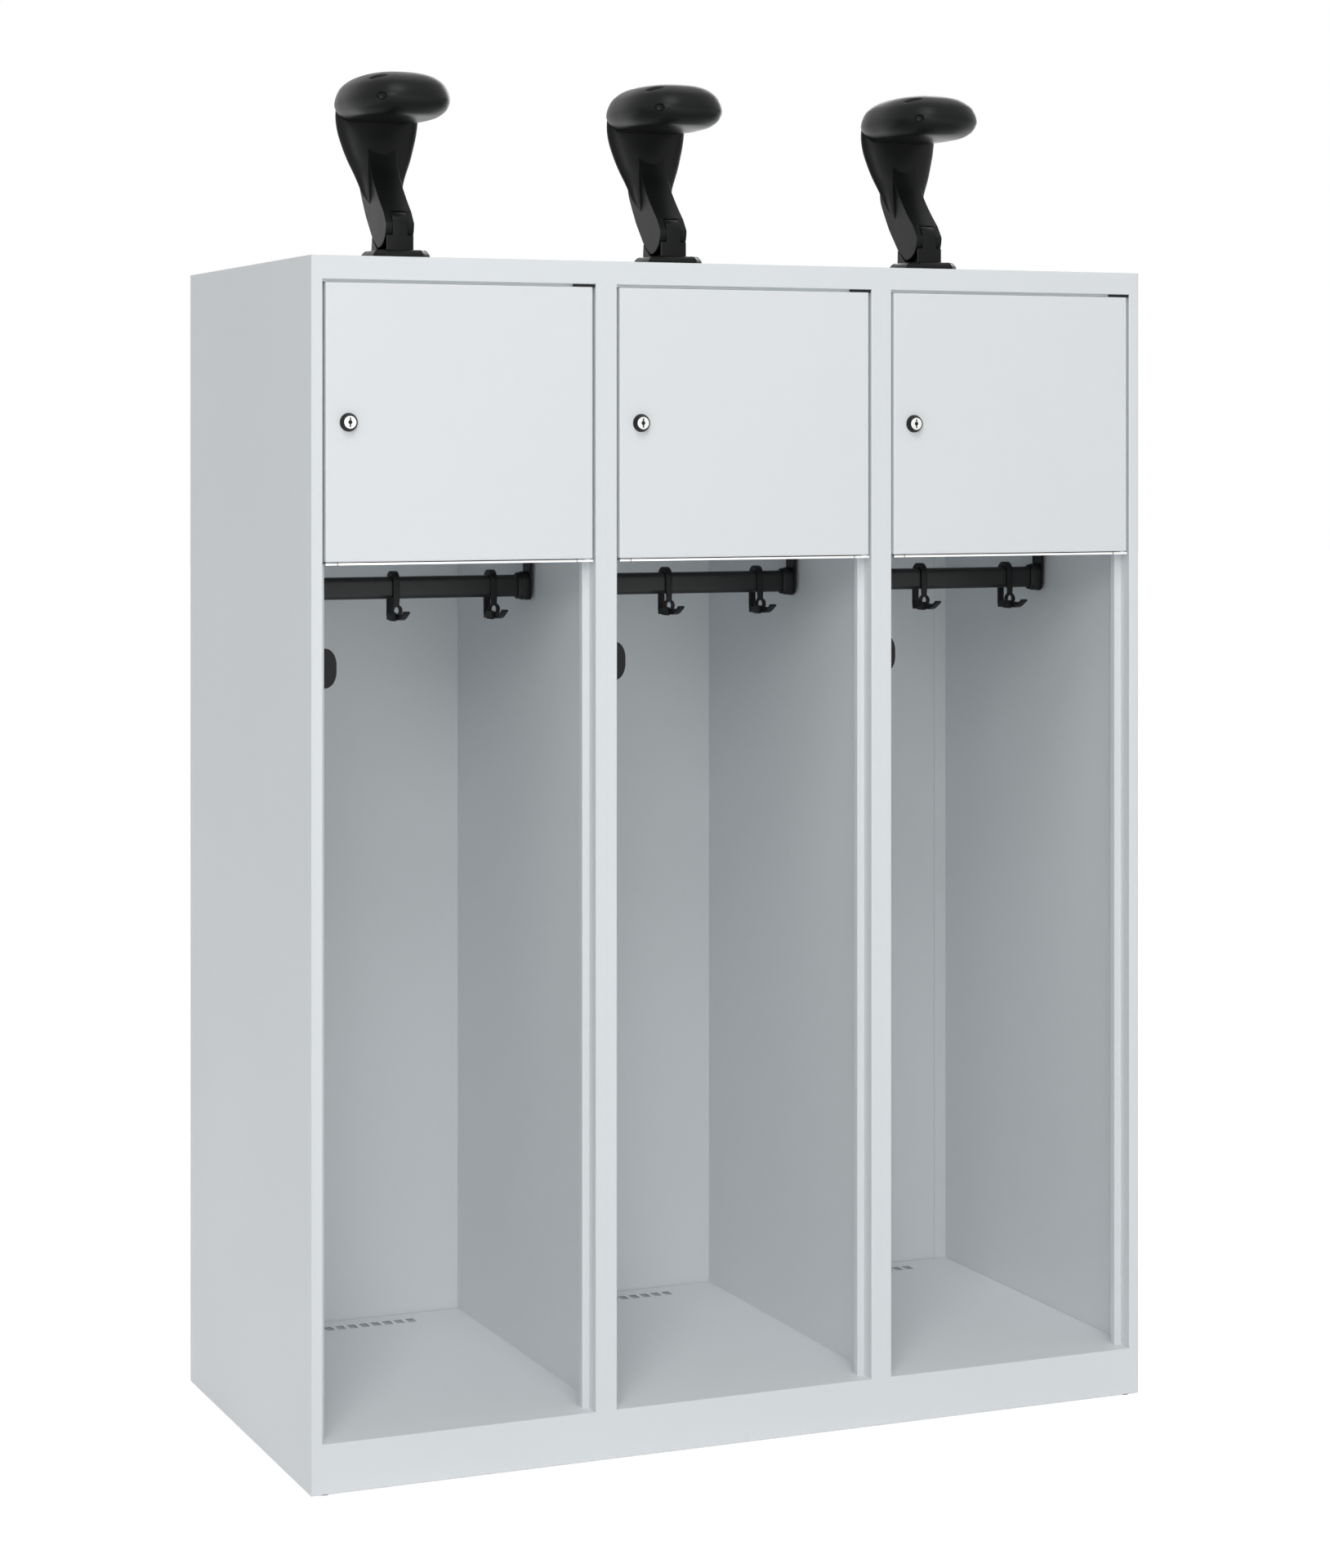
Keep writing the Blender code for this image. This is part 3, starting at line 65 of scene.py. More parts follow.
# Nearer than these, points of a path are one point and vertices are welded
samePoint, weldReach = 1e-7, 2e-6
width = cabinet["bays"] * pitch
innerBack = cabinet["depth"] - sheet - seam
shelfBack = innerBack - sheet - seam
stile, rebate = cabinet["stileFace"], cabinet["rebateDepth"]
stopEdge = stile + cabinet["stopWidth"]
stileDepth = rebate + cabinet["stopReturn"]
railBottom = cabinet["height"] - cabinet["railFace"]
postSpan = (cabinet["baseHeight"] + cabinet["seamShown"], railBottom - cabinet["seamShown"])


# Numbers and surfaces


def throughPoints(knots, steps):
    # Catmull-Rom curve: between two knots the point follows the cubic whose slopes at the knots are
    # half the way between each knot's neighbours
    knots = np.asarray(knots, float)
    padded = np.concatenate([2 * knots[:1] - knots[1:2], knots, 2 * knots[-1:] - knots[-2:-1]])
    share = np.linspace(0, 1, steps, endpoint=False)[None, :, None]
    p0, p1, p2, p3 = (padded[i : len(padded) - 3 + i, None, :] for i in range(4))
    curve = 0.5 * (
        2 * p1
        + (p2 - p0) * share
        + (2 * p0 - 5 * p1 + 4 * p2 - p3) * share**2
        + (3 * p1 - 3 * p2 + p3 - p0) * share**3
    )
    return np.concatenate([curve.reshape(-1, knots.shape[1]), knots[-1:]])


def leftOf(directions):
    return np.stack([-directions[:, 1], directions[:, 0]], axis=1)


def sidesOf(outline):
    # Unit vectors from each point to the next
    side = np.roll(outline, -1, axis=0) - outline
    return side / np.linalg.norm(side, axis=1, keepdims=True)


def roundPoints(turn):
    return np.column_stack([np.cos(turn), np.sin(turn)])


def oblong(x0, x1, y0, y1):
    return np.array([(x0, y0), (x1, y0), (x1, y1), (x0, y1)], float)


def roundedPath(corners, radius, closed=False, steps=4):
    # Every corner becomes an arc that touches both its sides: it starts radius * tan(turn / 2) before
    # the corner and keeps the radius from a centre on the inner side. A point just before and after
    # each arc keeps the flats flat in smooth shading. Gives points, headings and corner numbers.
    corners = np.asarray(corners, float)
    ahead = sidesOf(corners)
    behind = np.roll(ahead, 1, axis=0)
    cross = behind[:, 0] * ahead[:, 1] - behind[:, 1] * ahead[:, 0]
    turn = np.arctan2(cross, np.sum(behind * ahead, axis=1))
    radius = np.broadcast_to(np.asarray(radius, float), turn.shape)
    normal = np.sign(turn)[:, None] * leftOf(behind)
    start = corners - behind * (radius * np.tan(np.abs(turn) / 2))[:, None]
    angle = np.abs(turn)[:, None, None] * np.linspace(0, 1, steps + 1)[None, :, None]
    heading = behind[:, None] * np.cos(angle) + normal[:, None] * np.sin(angle)
    centre = (start + normal * radius[:, None])[:, None]
    outward = normal[:, None] * np.cos(angle) - behind[:, None] * np.sin(angle)
    arcs = centre - radius[:, None, None] * outward
    leadIn = arcs[:, :1] - heading[:, :1] * support
    leadOut = arcs[:, -1:] + heading[:, -1:] * support
    points = np.concatenate([leadIn, arcs, leadOut], axis=1)
    headings = np.concatenate([heading[:, :1], heading, heading[:, -1:]], axis=1)
    owner = np.repeat(np.arange(len(corners)), steps + 3).reshape(len(corners), steps + 3)
    if not closed:
        points, headings, owner = points[1:-1], headings[1:-1], owner[1:-1]
    points, headings, owner = points.reshape(-1, 2), headings.reshape(-1, 2), owner.ravel()
    if not closed:
        points = np.concatenate([corners[:1], points, corners[-1:]])
        headings = np.concatenate([ahead[:1], headings, behind[-1:]])
        owner = np.concatenate([[0], owner, [len(corners) - 1]])
    keep = np.linalg.norm(points - np.roll(points, 1, axis=0), axis=1) > samePoint
    return points[keep], headings[keep], owner[keep]


def insetOutline(outline, distance):
    # Moves each point of a counterclockwise outline inwards, along the mean of its two sides' normals
    # divided by how far that mean leans from them, so that both sides move by the distance
    normal = leftOf(sidesOf(outline))
    before = np.roll(normal, 1, axis=0)
    lean = np.clip(1 + np.sum(normal * before, axis=1, keepdims=True), 0.4, None)
    return outline + (normal + before) / lean * distance


def stadium(across, up, steps=24):
    # An upright oval, counterclockwise: two half circles joined by straight sides
    radius = across / 2
    top = radius * roundPoints(np.linspace(0, math.pi, steps)) + (0, up / 2 - radius)
    return np.concatenate([top, -top])


def atLevel(outline, level):
    return np.column_stack([outline, np.full(len(outline), level)])


def loft(outline, rows):
    # The outline drawn in by each row's inset and set at each row's level
    return [atLevel(insetOutline(outline, inset), level) for inset, level in rows]


def gridShell(rings, turned, closeRows=False, capEnds=True):
    # Rings of points, turned into place: quads join neighbours, and the first and last rings are
    # closed by one face each, or joined to each other
    points = turned(np.asarray(rings))
    rows, columns = points.shape[:2]
    index = np.arange(rows * columns).reshape(rows, columns)
    lower = index if closeRows else index[:-1]
    upper = np.roll(index, -1, axis=0) if closeRows else index[1:]
    quads = np.stack([lower, np.roll(lower, -1, axis=1), np.roll(upper, -1, axis=1), upper], axis=-1)
    caps = [] if closeRows or not capEnds else [index[0][::-1], index[-1]]
    return points.reshape(-1, 3), quads.reshape(-1, 4), caps


def sheetShell(corners, spans, side, turned, bend=cabinet["innerBend"]):
    # A folded sheet: a section with rounded bends, the sheet's thickness laid off on one side of it,
    # run from each point's low end to its high end
    corners = np.asarray(corners, float)
    ahead = np.roll(corners, -1, axis=0) - corners
    behind = np.roll(ahead, 1, axis=0)
    inward = side * (behind[:, 0] * ahead[:, 1] - behind[:, 1] * ahead[:, 0]) > 0
    points, heading, owner = roundedPath(corners, bend + sheet * inward)
    ring = np.concatenate([points, (points + side * sheet * leftOf(heading))[::-1]])
    ends = np.asarray(spans, float)[np.concatenate([owner, owner[::-1]])]
    rings = [np.column_stack([ring, end]) for end in ends.T]
    vertices, quads = gridShell(rings, turned, capEnds=False)[:2]
    count = len(points)
    first = np.arange(count - 1)
    strip = np.stack([first, first + 1, 2 * count - 2 - first, 2 * count - 1 - first], axis=-1)
    return vertices, np.concatenate([quads, strip[:, ::-1], strip + 2 * count]), []


def plateShell(outline, low, high, radius, turned, steps=3):
    # A flat plate with rounded edges: the outline is drawn in by radius * (1 - sin t) where the level
    # is radius * (1 - cos t) from a face, for t from 0 to a quarter turn
    turn = np.linspace(0, math.pi / 2, steps + 1)
    inset = np.concatenate([[radius + support], radius * (1 - np.sin(turn))])
    rise = np.concatenate([[0], radius * (1 - np.cos(turn))])
    levels = np.concatenate([low + rise, (high - rise)[::-1]])
    return gridShell(loft(outline, zip([*inset, *inset[::-1]], levels)), turned)


def latheShell(profile, steps, turned, closed=False):
    # A profile of (radius, level) turned about the level's axis
    ring = roundPoints(np.linspace(0, math.tau, steps, endpoint=False))
    return gridShell([atLevel(ring * radius, level) for radius, level in profile], turned, closed)


def alongX(offset=(0, 0, 0)):
    # (u, v, level) becomes (level, u, v), moved by the offset
    return lambda grid: grid[..., [2, 0, 1]] + offset


def alongY(offset=(0, 0, 0)):
    # (u, v, level) becomes (u, -level, v): levels count towards the front
    return lambda grid: grid[..., [0, 2, 1]] * (1, -1, 1) + offset


def alongZ(offset=(0, 0, 0)):
    return lambda grid: grid + offset


def boxShell(low, high, turned=alongZ()):
    low, high = np.asarray(low, float), np.asarray(high, float)
    plan = low[:2] + oblong(0, 1, 0, 1) * (high - low)[:2]
    return gridShell([atLevel(plan, level) for level in (low[2], high[2])], turned)


def shellVolume(points, quads, caps):
    # Sum of the tetrahedra from the origin to every triangle of the shell
    triangles = [quads[:, [0, 1, 2]], quads[:, [0, 2, 3]]]
    triangles += [np.stack([np.full(len(c) - 2, c[0]), c[1:-1], c[2:]], axis=1) for c in caps]
    a, b, c = (points[np.concatenate(triangles)[:, i]] for i in range(3))
    return np.sum(a * np.cross(b, c)) / 6


def smoothed(mesh, sharpest):
    mesh.shade_smooth()
    mesh.set_sharp_from_angle(angle=math.radians(sharpest))
    return mesh


def addObject(name, data):
    added = bpy.data.objects.new(name, data)
    bpy.context.scene.collection.objects.link(added)
    return added


def meshOf(shells, sharpest=38):
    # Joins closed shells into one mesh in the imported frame; one that comes out inside out is turned
    vertices, faces, count = [], [], 0
    for points, quads, caps in shells:
        if shellVolume(points - points.mean(axis=0), quads, caps) < 0:
            quads, caps = quads[:, ::-1], [cap[::-1] for cap in caps]
        vertices.append(points + corner)
        faces += (quads + count).tolist() + [(cap + count).tolist() for cap in caps]
        count += len(points)
    mesh = bpy.data.meshes.new("shells")
    mesh.from_pydata(np.concatenate(vertices).tolist(), [], faces)
    welded = bmesh.new()
    welded.from_mesh(mesh)
    bmesh.ops.remove_doubles(welded, verts=welded.verts, dist=weldReach)
    welded.to_mesh(mesh)
    welded.free()
    return smoothed(mesh, sharpest)


def cutAway(mesh, shells, operation="DIFFERENCE", sharpest=38):
    # The mesh with other shells cut out of it or united with it
    body, tool = addObject("body", mesh), addObject("tool", meshOf(shells))
    cut = body.modifiers.new("Cut", "BOOLEAN")
    cut.object, cut.operation, cut.solver = tool, operation, "EXACT"
    bpy.context.view_layer.update()
    done = bpy.data.meshes.new_from_object(body.evaluated_get(bpy.context.evaluated_depsgraph_get()))
    bpy.data.objects.remove(body)
    bpy.data.objects.remove(tool)
    return smoothed(done, sharpest)


def joinMeshes(mesh, *others):
    joined = bmesh.new()
    for one in (mesh, *others):
        joined.from_mesh(one)
    joined.to_mesh(mesh)
    joined.free()
    return mesh


def addPiece(name, mesh, material, *replaced, body="cabinet"):
    # A finished piece: its object at the origin, on its body, in place of the solids it stands for
    piece = addObject(name, mesh)
    mesh.name = name
    mesh.materials.clear()
    mesh.materials.append(material)
    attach(piece, body)
    if replaced:
        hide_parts(*replaced)


# Materials


def linear(hexColour):
    # sRGB to linear: up to 0.04045 a 12.92th, above it ((c + 0.055) / 1.055) to the power 2.4
    parts = np.array([int(hexColour[i : i + 2], 16) for i in (1, 3, 5)]) / 255
    curve = np.where(parts <= 0.04045, parts / 12.92, ((parts + 0.055) / 1.055) ** 2.4)
    return (*curve.tolist(), 1.0)


def addNode(tree, kind, settings=None, links=None):
    # One node with its own settings, its sockets' values and the links into it
    node = tree.nodes.new(kind)
    for key, value in (settings or {}).items():
        if isinstance(key, str) and hasattr(node, key):
            setattr(node, key, value)
        else:
            node.inputs[key].default_value = value
    for key, source in (links or {}).items():
        tree.links.new(source, node.inputs[key])
    return node


def coatedMaterial(name, look):
    # A coat or moulded skin: two close colours mixed by soft clouds, roughness that drifts with them,
    # and a fine relief of a strength and a depth. Sizes are the wavelengths in metres, so a noise
    # scale is 1 / size.
    material = bpy.data.materials.new(name)
    material.use_nodes = True
    tree = material.node_tree
    shader = tree.nodes["Principled BSDF"]
    place = addNode(tree, "ShaderNodeTexCoord").outputs["Object"]

    def noise(size, detail, roughness):
        values = {"Scale": 1 / size, "Detail": detail, "Roughness": roughness}
        return addNode(tree, "ShaderNodeTexNoise", values, {"Vector": place}).outputs["Fac"]

    clouds, grain = noise(look["cloudSize"], 3.0, 0.5), noise(look["grainSize"], 2.0, 0.55)
    pairs = (look[key] for key in ("colours", "roughness", "relief"))
    (colour, drift), (smooth, rough), (strength, depth) = pairs
    mixed = {"data_type": "RGBA", 6: linear(colour), 7: linear(drift)}
    tint = addNode(tree, "ShaderNodeMix", mixed, {"Factor": clouds})
    # The clouds keep mostly between 0.3 and 0.7
    ranges = {"From Min": 0.3, "From Max": 0.7, "To Min": smooth, "To Max": rough}
    gloss = addNode(tree, "ShaderNodeMapRange", ranges, {"Value": clouds})
    bumps = {"Strength": strength, "Distance": depth}
    relief = addNode(tree, "ShaderNodeBump", bumps, {"Height": grain})
    tree.links.new(tint.outputs[2], shader.inputs["Base Color"])
    tree.links.new(gloss.outputs["Result"], shader.inputs["Roughness"])
    tree.links.new(relief.outputs["Normal"], shader.inputs["Normal"])
    shader.inputs["IOR"].default_value = 1.5
    shader.inputs["Metallic"].default_value = look.get("metallic", 0.0)
    shader.inputs["Specular IOR Level"].default_value = look.get("sheen", 0.5)
    return material


# Polyester powder coat, sprayed and baked: orange peel of 1 to 3 mm gives a soft, even satin. It is
# drawn at 5 mm, because finer relief doesn't show at this size of picture.
powderCoat = coatedMaterial("light_grey_powder_coat", {
    "colours": ("#dfe3e5", "#e1e5e7"), "cloudSize": 0.35, "roughness": (0.42, 0.50),
    "grainSize": 0.005, "relief": (0.10, 0.0002),
})
# The doors' coat is the frame's paint drawn a touch paler: painted light for the brighter light the
# doors catch
paleLitDoorCoat = coatedMaterial("light_grey_powder_coat_painted_paler_on_doors", {
    "colours": ("#e1e4e6", "#e3e6e8"), "cloudSize": 0.30, "roughness": (0.40, 0.47),
    "grainSize": 0.005, "relief": (0.10, 0.0002),
})
# Black powder coat on the oval tube: smoother than plastic, with the same faint orange peel
railCoat = coatedMaterial("black_powder_coat", {
    "colours": ("#1b1c1c", "#202121"), "cloudSize": 0.12, "sheen": 0.33, "roughness": (0.34, 0.42),
    "grainSize": 0.003, "relief": (0.15, 0.0001),
})
# Injection-moulded polyamide, spark-eroded mould: a fine matt grain, drawn at 1.5 mm
blackPlastic = coatedMaterial("moulded_black_polyamide", {
    "colours": ("#111213", "#161718"), "cloudSize": 0.03, "sheen": 0.24, "roughness": (0.40, 0.50),
    "grainSize": 0.0015, "relief": (0.20, 0.0001),
})
# Glass-filled polyamide of the helmet holders: a softer sheen, and glass flow that clouds it faintly
holderPlastic = coatedMaterial("moulded_glass_filled_polyamide", {
    "colours": ("#121313", "#171818"), "cloudSize": 0.06, "sheen": 0.15, "roughness": (0.30, 0.38),
    "grainSize": 0.0018, "relief": (0.18, 0.0001),
})
# Nickel-plated brass lock face, finely ground: bright, with a soft mirror
nickelPlate = coatedMaterial("ground_nickel_plate", {
    "colours": ("#f4f4f2", "#ecebe8"), "cloudSize": 0.004, "roughness": (0.16, 0.26),
    "grainSize": 0.0006, "relief": (0.10, 0.00005), "metallic": 1.0,
})
# Painted highlight: near white metal on the shelves' folded edges, which reflects the room near white
# in place of the highlight the lit fold catches
highlightSteel = coatedMaterial("painted_highlight_steel", {
    "colours": ("#fbfbfa", "#f4f4f3"), "cloudSize": 0.02, "roughness": (0.18, 0.28),
    "grainSize": 0.0008, "relief": (0.05, 0.00002), "metallic": 1.0,
})
# Zinc plating with a clear blue passivation on the cam
zincPlate = coatedMaterial("blue_passivated_zinc", {
    "colours": ("#c3c8cf", "#aeb4bd"), "cloudSize": 0.006, "roughness": (0.30, 0.42),
    "grainSize": 0.002, "relief": (0.15, 0.00005), "metallic": 1.0,
})
# Mid-grey coat on the sheet under the air slots: painted shade for the dim space seen through the
# slots
slotShadeCoat = coatedMaterial("mid_grey_painted_slot_shade", {
    "colours": ("#b0b6b9", "#b2b8bb"), "cloudSize": 0.06, "roughness": (0.50, 0.58),
    "grainSize": 0.003, "relief": (0.10, 0.00005), "sheen": 0.3,
})
# The materials that each slot may hold
slotMaterials = {
    "cabinet_coat": [powderCoat, slotShadeCoat],
    "door_coat": [paleLitDoorCoat],
    "black_plastic": [blackPlastic],
    "holder_plastic": [holderPlastic],
    "rail_coat": [railCoat],
    "lock_chrome": [nickelPlate, highlightSteel],
    "zinc": [zincPlate],
}
print("materials made")


# Folded sheet


def stileCorners(start):
    # Plan of a left-hand stile's outer side, from its outer corner back to the wall
    return [(start, 0), (stile, 0), (stile, rebate), (stopEdge, rebate), (stopEdge, stileDepth)]


lock = {
    "inset": 0.030, "camSetback": 0.026, "camThickness": 0.002, "camWidth": 0.014,
    "camReach": 0.031, "strikeClearance": 0.0015, "rosetteFoot": 0.01175, "rosetteTip": 0.0092,
    "rosetteProud": 0.008, "rosetteRim": 0.0012, "rosetteSoft": 0.00035, "sleeve": 0.0095,
    "sleeveReach": 0.021, "nutRadius": 0.0135, "nutHeight": 0.004, "barrel": 0.00815,
    "barrelRecess": 0.0004, "barrelSoft": 0.0005, "keyholeHalfHeight": 0.006,
    "keyholeHalfWidth": 0.0009, "keyholeEye": 0.00265, "keyholeDepth": 0.007,
    "keyholeSoft": 0.00015, "keyholeShadeSunk": 0.0005, "stub": 0.0035,
}
door = {
    "height": 0.351, "thickness": 0.020, "sideGap": 0.0038, "topGap": 0.0037, "bottomGap": 0.0015,
    "cornerRadius": 0.0018, "bend": 0.0022, "hem": 0.012, "hingeInset": 0.006, "hingeDepth": 0.005,
    "pinRadius": 0.0025, "pinReach": 0.0065, "shoulder": 0.0045, "step": 0.007,
}
doorTop = railBottom - door["topGap"]
doorBottom = doorTop - door["height"]
shelfTop = doorBottom - door["bottomGap"]
lockUp = doorBottom + door["height"] / 2


def strikeBox(edge):
    # Slot in a stile's second return, where the cam swings in
    spare, near = lock["strikeClearance"], lock["camSetback"]
    low = (edge - 3 * sheet, near - spare, lockUp - lock["camReach"])
    far, top = near + lock["camThickness"] + spare, lockUp + lock["camWidth"] / 2 + spare
    return boxShell(low, (edge + 3 * sheet, far, top))


def makeSidePanels():
    rise, skin, step = cabinet["height"], cabinet["skin"], support * 2.5
    flange = (0, rise - sheet - seam)
    corners = [(cabinet["rearFlange"], innerBack), (skin + step, innerBack), (skin, innerBack)]
    corners += [(0, innerBack), (0, 0), (skin, 0), (skin + step, 0)]
    corners += stileCorners(0)[1:] + [(sheet + seam, stileDepth)]
    spans = [flange] * 2 + [(0, rise)] * 4 + [postSpan] * 6
    left = meshOf([sheetShell(corners, spans, 1, alongZ())])
    addPiece("leftSideFolded", cutAway(left, [strikeBox(stopEdge)]), powderCoat, "left_side_panel")
    mirrored = [(width - x, y) for x, y in corners]
    right = meshOf([sheetShell(mirrored, spans, -1, alongZ())])
    addPiece("rightSideFolded", right, powderCoat, "right_side_panel")


def makeDividers():
    # A flat sheet with two folded post halves on its front edge; they meet in the seam that shows
    tall = (postSpan[0], cabinet["height"] - sheet - seam)
    notch = rebate + seam
    for k in bays[1:]:
        middle = k * pitch
        flat = [(middle + sheet / 2, y) for y in (sheet + seam, notch, notch + seam, innerBack)]
        shells = [sheetShell(flat, [postSpan, postSpan, tall, tall], 1, alongZ())]
        half = stileCorners(seam / 2) + [(sheet / 2, stileDepth)]
        for sign in (-1, 1):
            plan = [(middle + sign * x, y) for x, y in half]
            shells.append(sheetShell(plan, [postSpan] * len(plan), sign, alongZ()))
        mesh = cutAway(meshOf(shells[:1] + shells[2:]), [strikeBox(middle + stopEdge)])
        low, high = postSpan
        filler = boxShell((middle - seam, seam / 2, low), (middle + seam, 3 * seam, high))
        joinMeshes(mesh, meshOf([shells[1], filler]))
        addPiece(f"divider{k}Folded", mesh, powderCoat, f"divider_{k}")


def groundWelds(low, high):
    # Where the posts meet the rail and the plinth, the weld is ground flush with both faces
    bend = sheet + cabinet["innerBend"]
    flat = stile - bend
    spans = [(cabinet["skin"] + support, flat + bend / 2)]
    spans += [(k * pitch - flat - bend / 2, k * pitch + flat + bend / 2) for k in bays[1:]]
    spans.append((width - spans[0][1], width - spans[0][0]))
    return [boxShell((x0, cabinet["weldDepth"], low), (x1, sheet, high)) for x0, x1 in spans]


# A narrow bead under the rail closes most of the gap over each door
bead = {"near": 0.0068, "thick": 0.001, "drop": 0.0032}


def makeRoof():
    # Roof sheet, front rail, bottom return and its upturned lip
    top, inner = cabinet["height"], rebate - seam
    corners = [(innerBack, top), (0, top), (0, railBottom), (inner, railBottom)]
    corners.append((inner, railBottom + cabinet["railLip"]))
    start = cabinet["skin"] + support * 2
    roof = sheetShell(corners, [(start, width - start)] * len(corners), 1, alongX())
    parts = [roof, *groundWelds(railBottom - seam, railBottom + 2 * sheet)]
    near, far, low = bead["near"], bead["near"] + bead["thick"], railBottom - bead["drop"]
    for bay in bays:
        left = bay * pitch + stile + seam
        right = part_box(f"hinge_bush_{bay + 1}")[0][0] - corner[0] - seam
        parts.append(boxShell((left, near, low), (right, far, railBottom + seam)))
    addPiece("roofFolded", meshOf(parts), powderCoat, "roof_panel")


# A mid-grey sheet hangs on spacers just under the slots: painted shade that stands for the dim space
# seen through them
slotShadeLayout = {"gap": 0.0007, "beyond": 0.008, "spacer": 0.002}


def makeBase():
    # Floor, plinths and their lips, with a row of air slots at the back of each bay
    slots = {"count": 14, "pitch": 0.0175, "width": 0.0115, "length": 0.020}
    slots |= {"fromBack": 0.038, "cut": 0.004}
    lip, rise = cabinet["baseLip"], cabinet["baseHeight"]
    corners = [(lip, 0), (0, 0), (0, rise), (shelfBack, rise), (shelfBack, 0), (shelfBack - lip, 0)]
    start = cabinet["skin"] + support * 2
    base = sheetShell(corners, [(start, width - start)] * len(corners), -1, alongX())
    row, half = cabinet["depth"] - slots["fromBack"], slots["length"] / 2
    holes = []
    for bay in bays:
        for i in range(slots["count"]):
            across = (bay + 0.5) * pitch + (i - (slots["count"] - 1) / 2) * slots["pitch"]
            low = (across - slots["width"] / 2, row - half, rise - slots["cut"])
            high = (across + slots["width"] / 2, row + half, rise + slots["cut"])
            holes.append(boxShell(low, high))
    mesh = cutAway(meshOf([base]), holes)
    parts = groundWelds(rise - 2 * sheet, rise + seam)
    reach, half = slots["count"] * slots["pitch"] / 2, half + slotShadeLayout["beyond"]
    top = rise - sheet - slotShadeLayout["gap"]
    for bay in bays:
        middle = (bay + 0.5) * pitch
        under = boxShell((middle - reach, row - half, top - sheet), (middle + reach, row + half, top))
        # The grey sheet under each bay's slots is painted shade
        addPiece(f"slotShadeSheet{bay + 1}", meshOf([under]), slotShadeCoat)
        for end in (middle - reach, middle + reach):
            low = (end - slotShadeLayout["spacer"], row - half, top - sheet / 2)
            parts.append(boxShell(low, (end + slotShadeLayout["spacer"], row + half, rise - sheet / 2)))
    joinMeshes(mesh, meshOf(parts))
    addPiece("baseFolded", mesh, powderCoat, "base_panel")


def bayWalls(bay):
    # Where the bay's left and right walls are: a side panel's inner face or a divider's
    left = sheet if bay == 0 else bay * pitch + sheet / 2
    right = width - sheet if bay == bays[-1] else (bay + 1) * pitch - sheet / 2
    return left, right


# A thin bright metal strip over the shelf's folded edge, open at the slits: a painted highlight along
# the fold
lipHighlight = {"proud": 0.00012, "rise": 0.0005, "depth": 0.0040, "round": 0.0006, "soft": 0.0001}


def highlightStripSection(top, bottom):
    # Section of the strip, front and rear corners, from below up
    proud = lipHighlight["proud"]
    return oblong(-proud, lipHighlight["depth"], bottom - proud, top + lipHighlight["rise"])


def makeShelves():
    # Each shelf is necked past the door stops, and its front edge is folded back under itself
    hem = {"depth": 0.012, "height": 0.0013, "bend": 0.00008}
    slit = {"width": 0.0012, "depth": 0.002, "inset": 0.016, "farInset": 0.022}
    under, half = shelfTop - sheet - hem["height"], slit["width"] / 2
    behindStop, behindRebate = stileDepth + seam, rebate - seam
    steps = (shelfBack, behindStop + seam, behindStop, behindRebate, behindRebate - seam, 0)
    corners = [(y, shelfTop) for y in steps] + [(0, under), (hem["depth"], under)]
    lip, neck = stile + door["sideGap"], stopEdge + seam
    pinTop, shoulder = door["bottomGap"] + door["pinReach"], door["bottomGap"] - seam
    profile = [(door["shoulder"], -sheet / 2), (door["shoulder"], shoulder)]
    profile += [(door["pinRadius"], shoulder), (door["pinRadius"], pinTop)]
    outer = roundedPath(highlightStripSection(shelfTop, under), lipHighlight["round"], closed=True)[0]
    for bay in bays:
        start, end = bay * pitch, bay * pitch + pitch
        wallLeft, wallRight = bayWalls(bay)
        full, necked = (wallLeft + seam, wallRight - seam), (start + neck, end - neck)
        front = (start + lip, end - lip)
        spans = [full] * 2 + [necked] * 2 + [front] * 4
        shelf = meshOf([sheetShell(corners, spans, 1, alongX(), hem["bend"])])
        at = (front[0] + slit["inset"], front[1] - slit["farInset"])
        depth, top = slit["depth"], shelfTop + seam
        slits = [boxShell((x - half, -seam, under - seam), (x + half, depth, top)) for x in at]
        pinAt = (end - lip - door["hingeInset"], door["hingeDepth"], shelfTop)
        shelf = cutAway(cutAway(shelf, slits), [latheShell(profile, 32, alongZ(pinAt))], "UNION")
        addPiece(f"shelf{bay + 1}Folded", shelf, powderCoat, f"shelf_{bay + 1}")
        # The bright strips along the shelf's front edge are a painted highlight, left open at the
        # slits
        runs = [(front[0], at[0] - half), (at[0] + half, at[1] - half), (at[1] + half, front[1])]
        strips = [plateShell(outer, x0, x1, lipHighlight["soft"], alongX()) for x0, x1 in runs]
        addPiece(f"shelfHighlight{bay + 1}", meshOf(strips), highlightSteel)


def denser(path, step):
    # Adds even points along each side that is longer than the step
    following = np.roll(path, -1, axis=0)
    length = np.linalg.norm(following - path, axis=1)
    counts = np.maximum(1, np.ceil(length / step)).astype(int)
    owner = np.repeat(np.arange(len(path)), counts)
    first = np.repeat(np.cumsum(counts) - counts, counts)
    share = ((np.arange(counts.sum()) - first) / counts[owner])[:, None]
    return path[owner] * (1 - share) + following[owner] * share


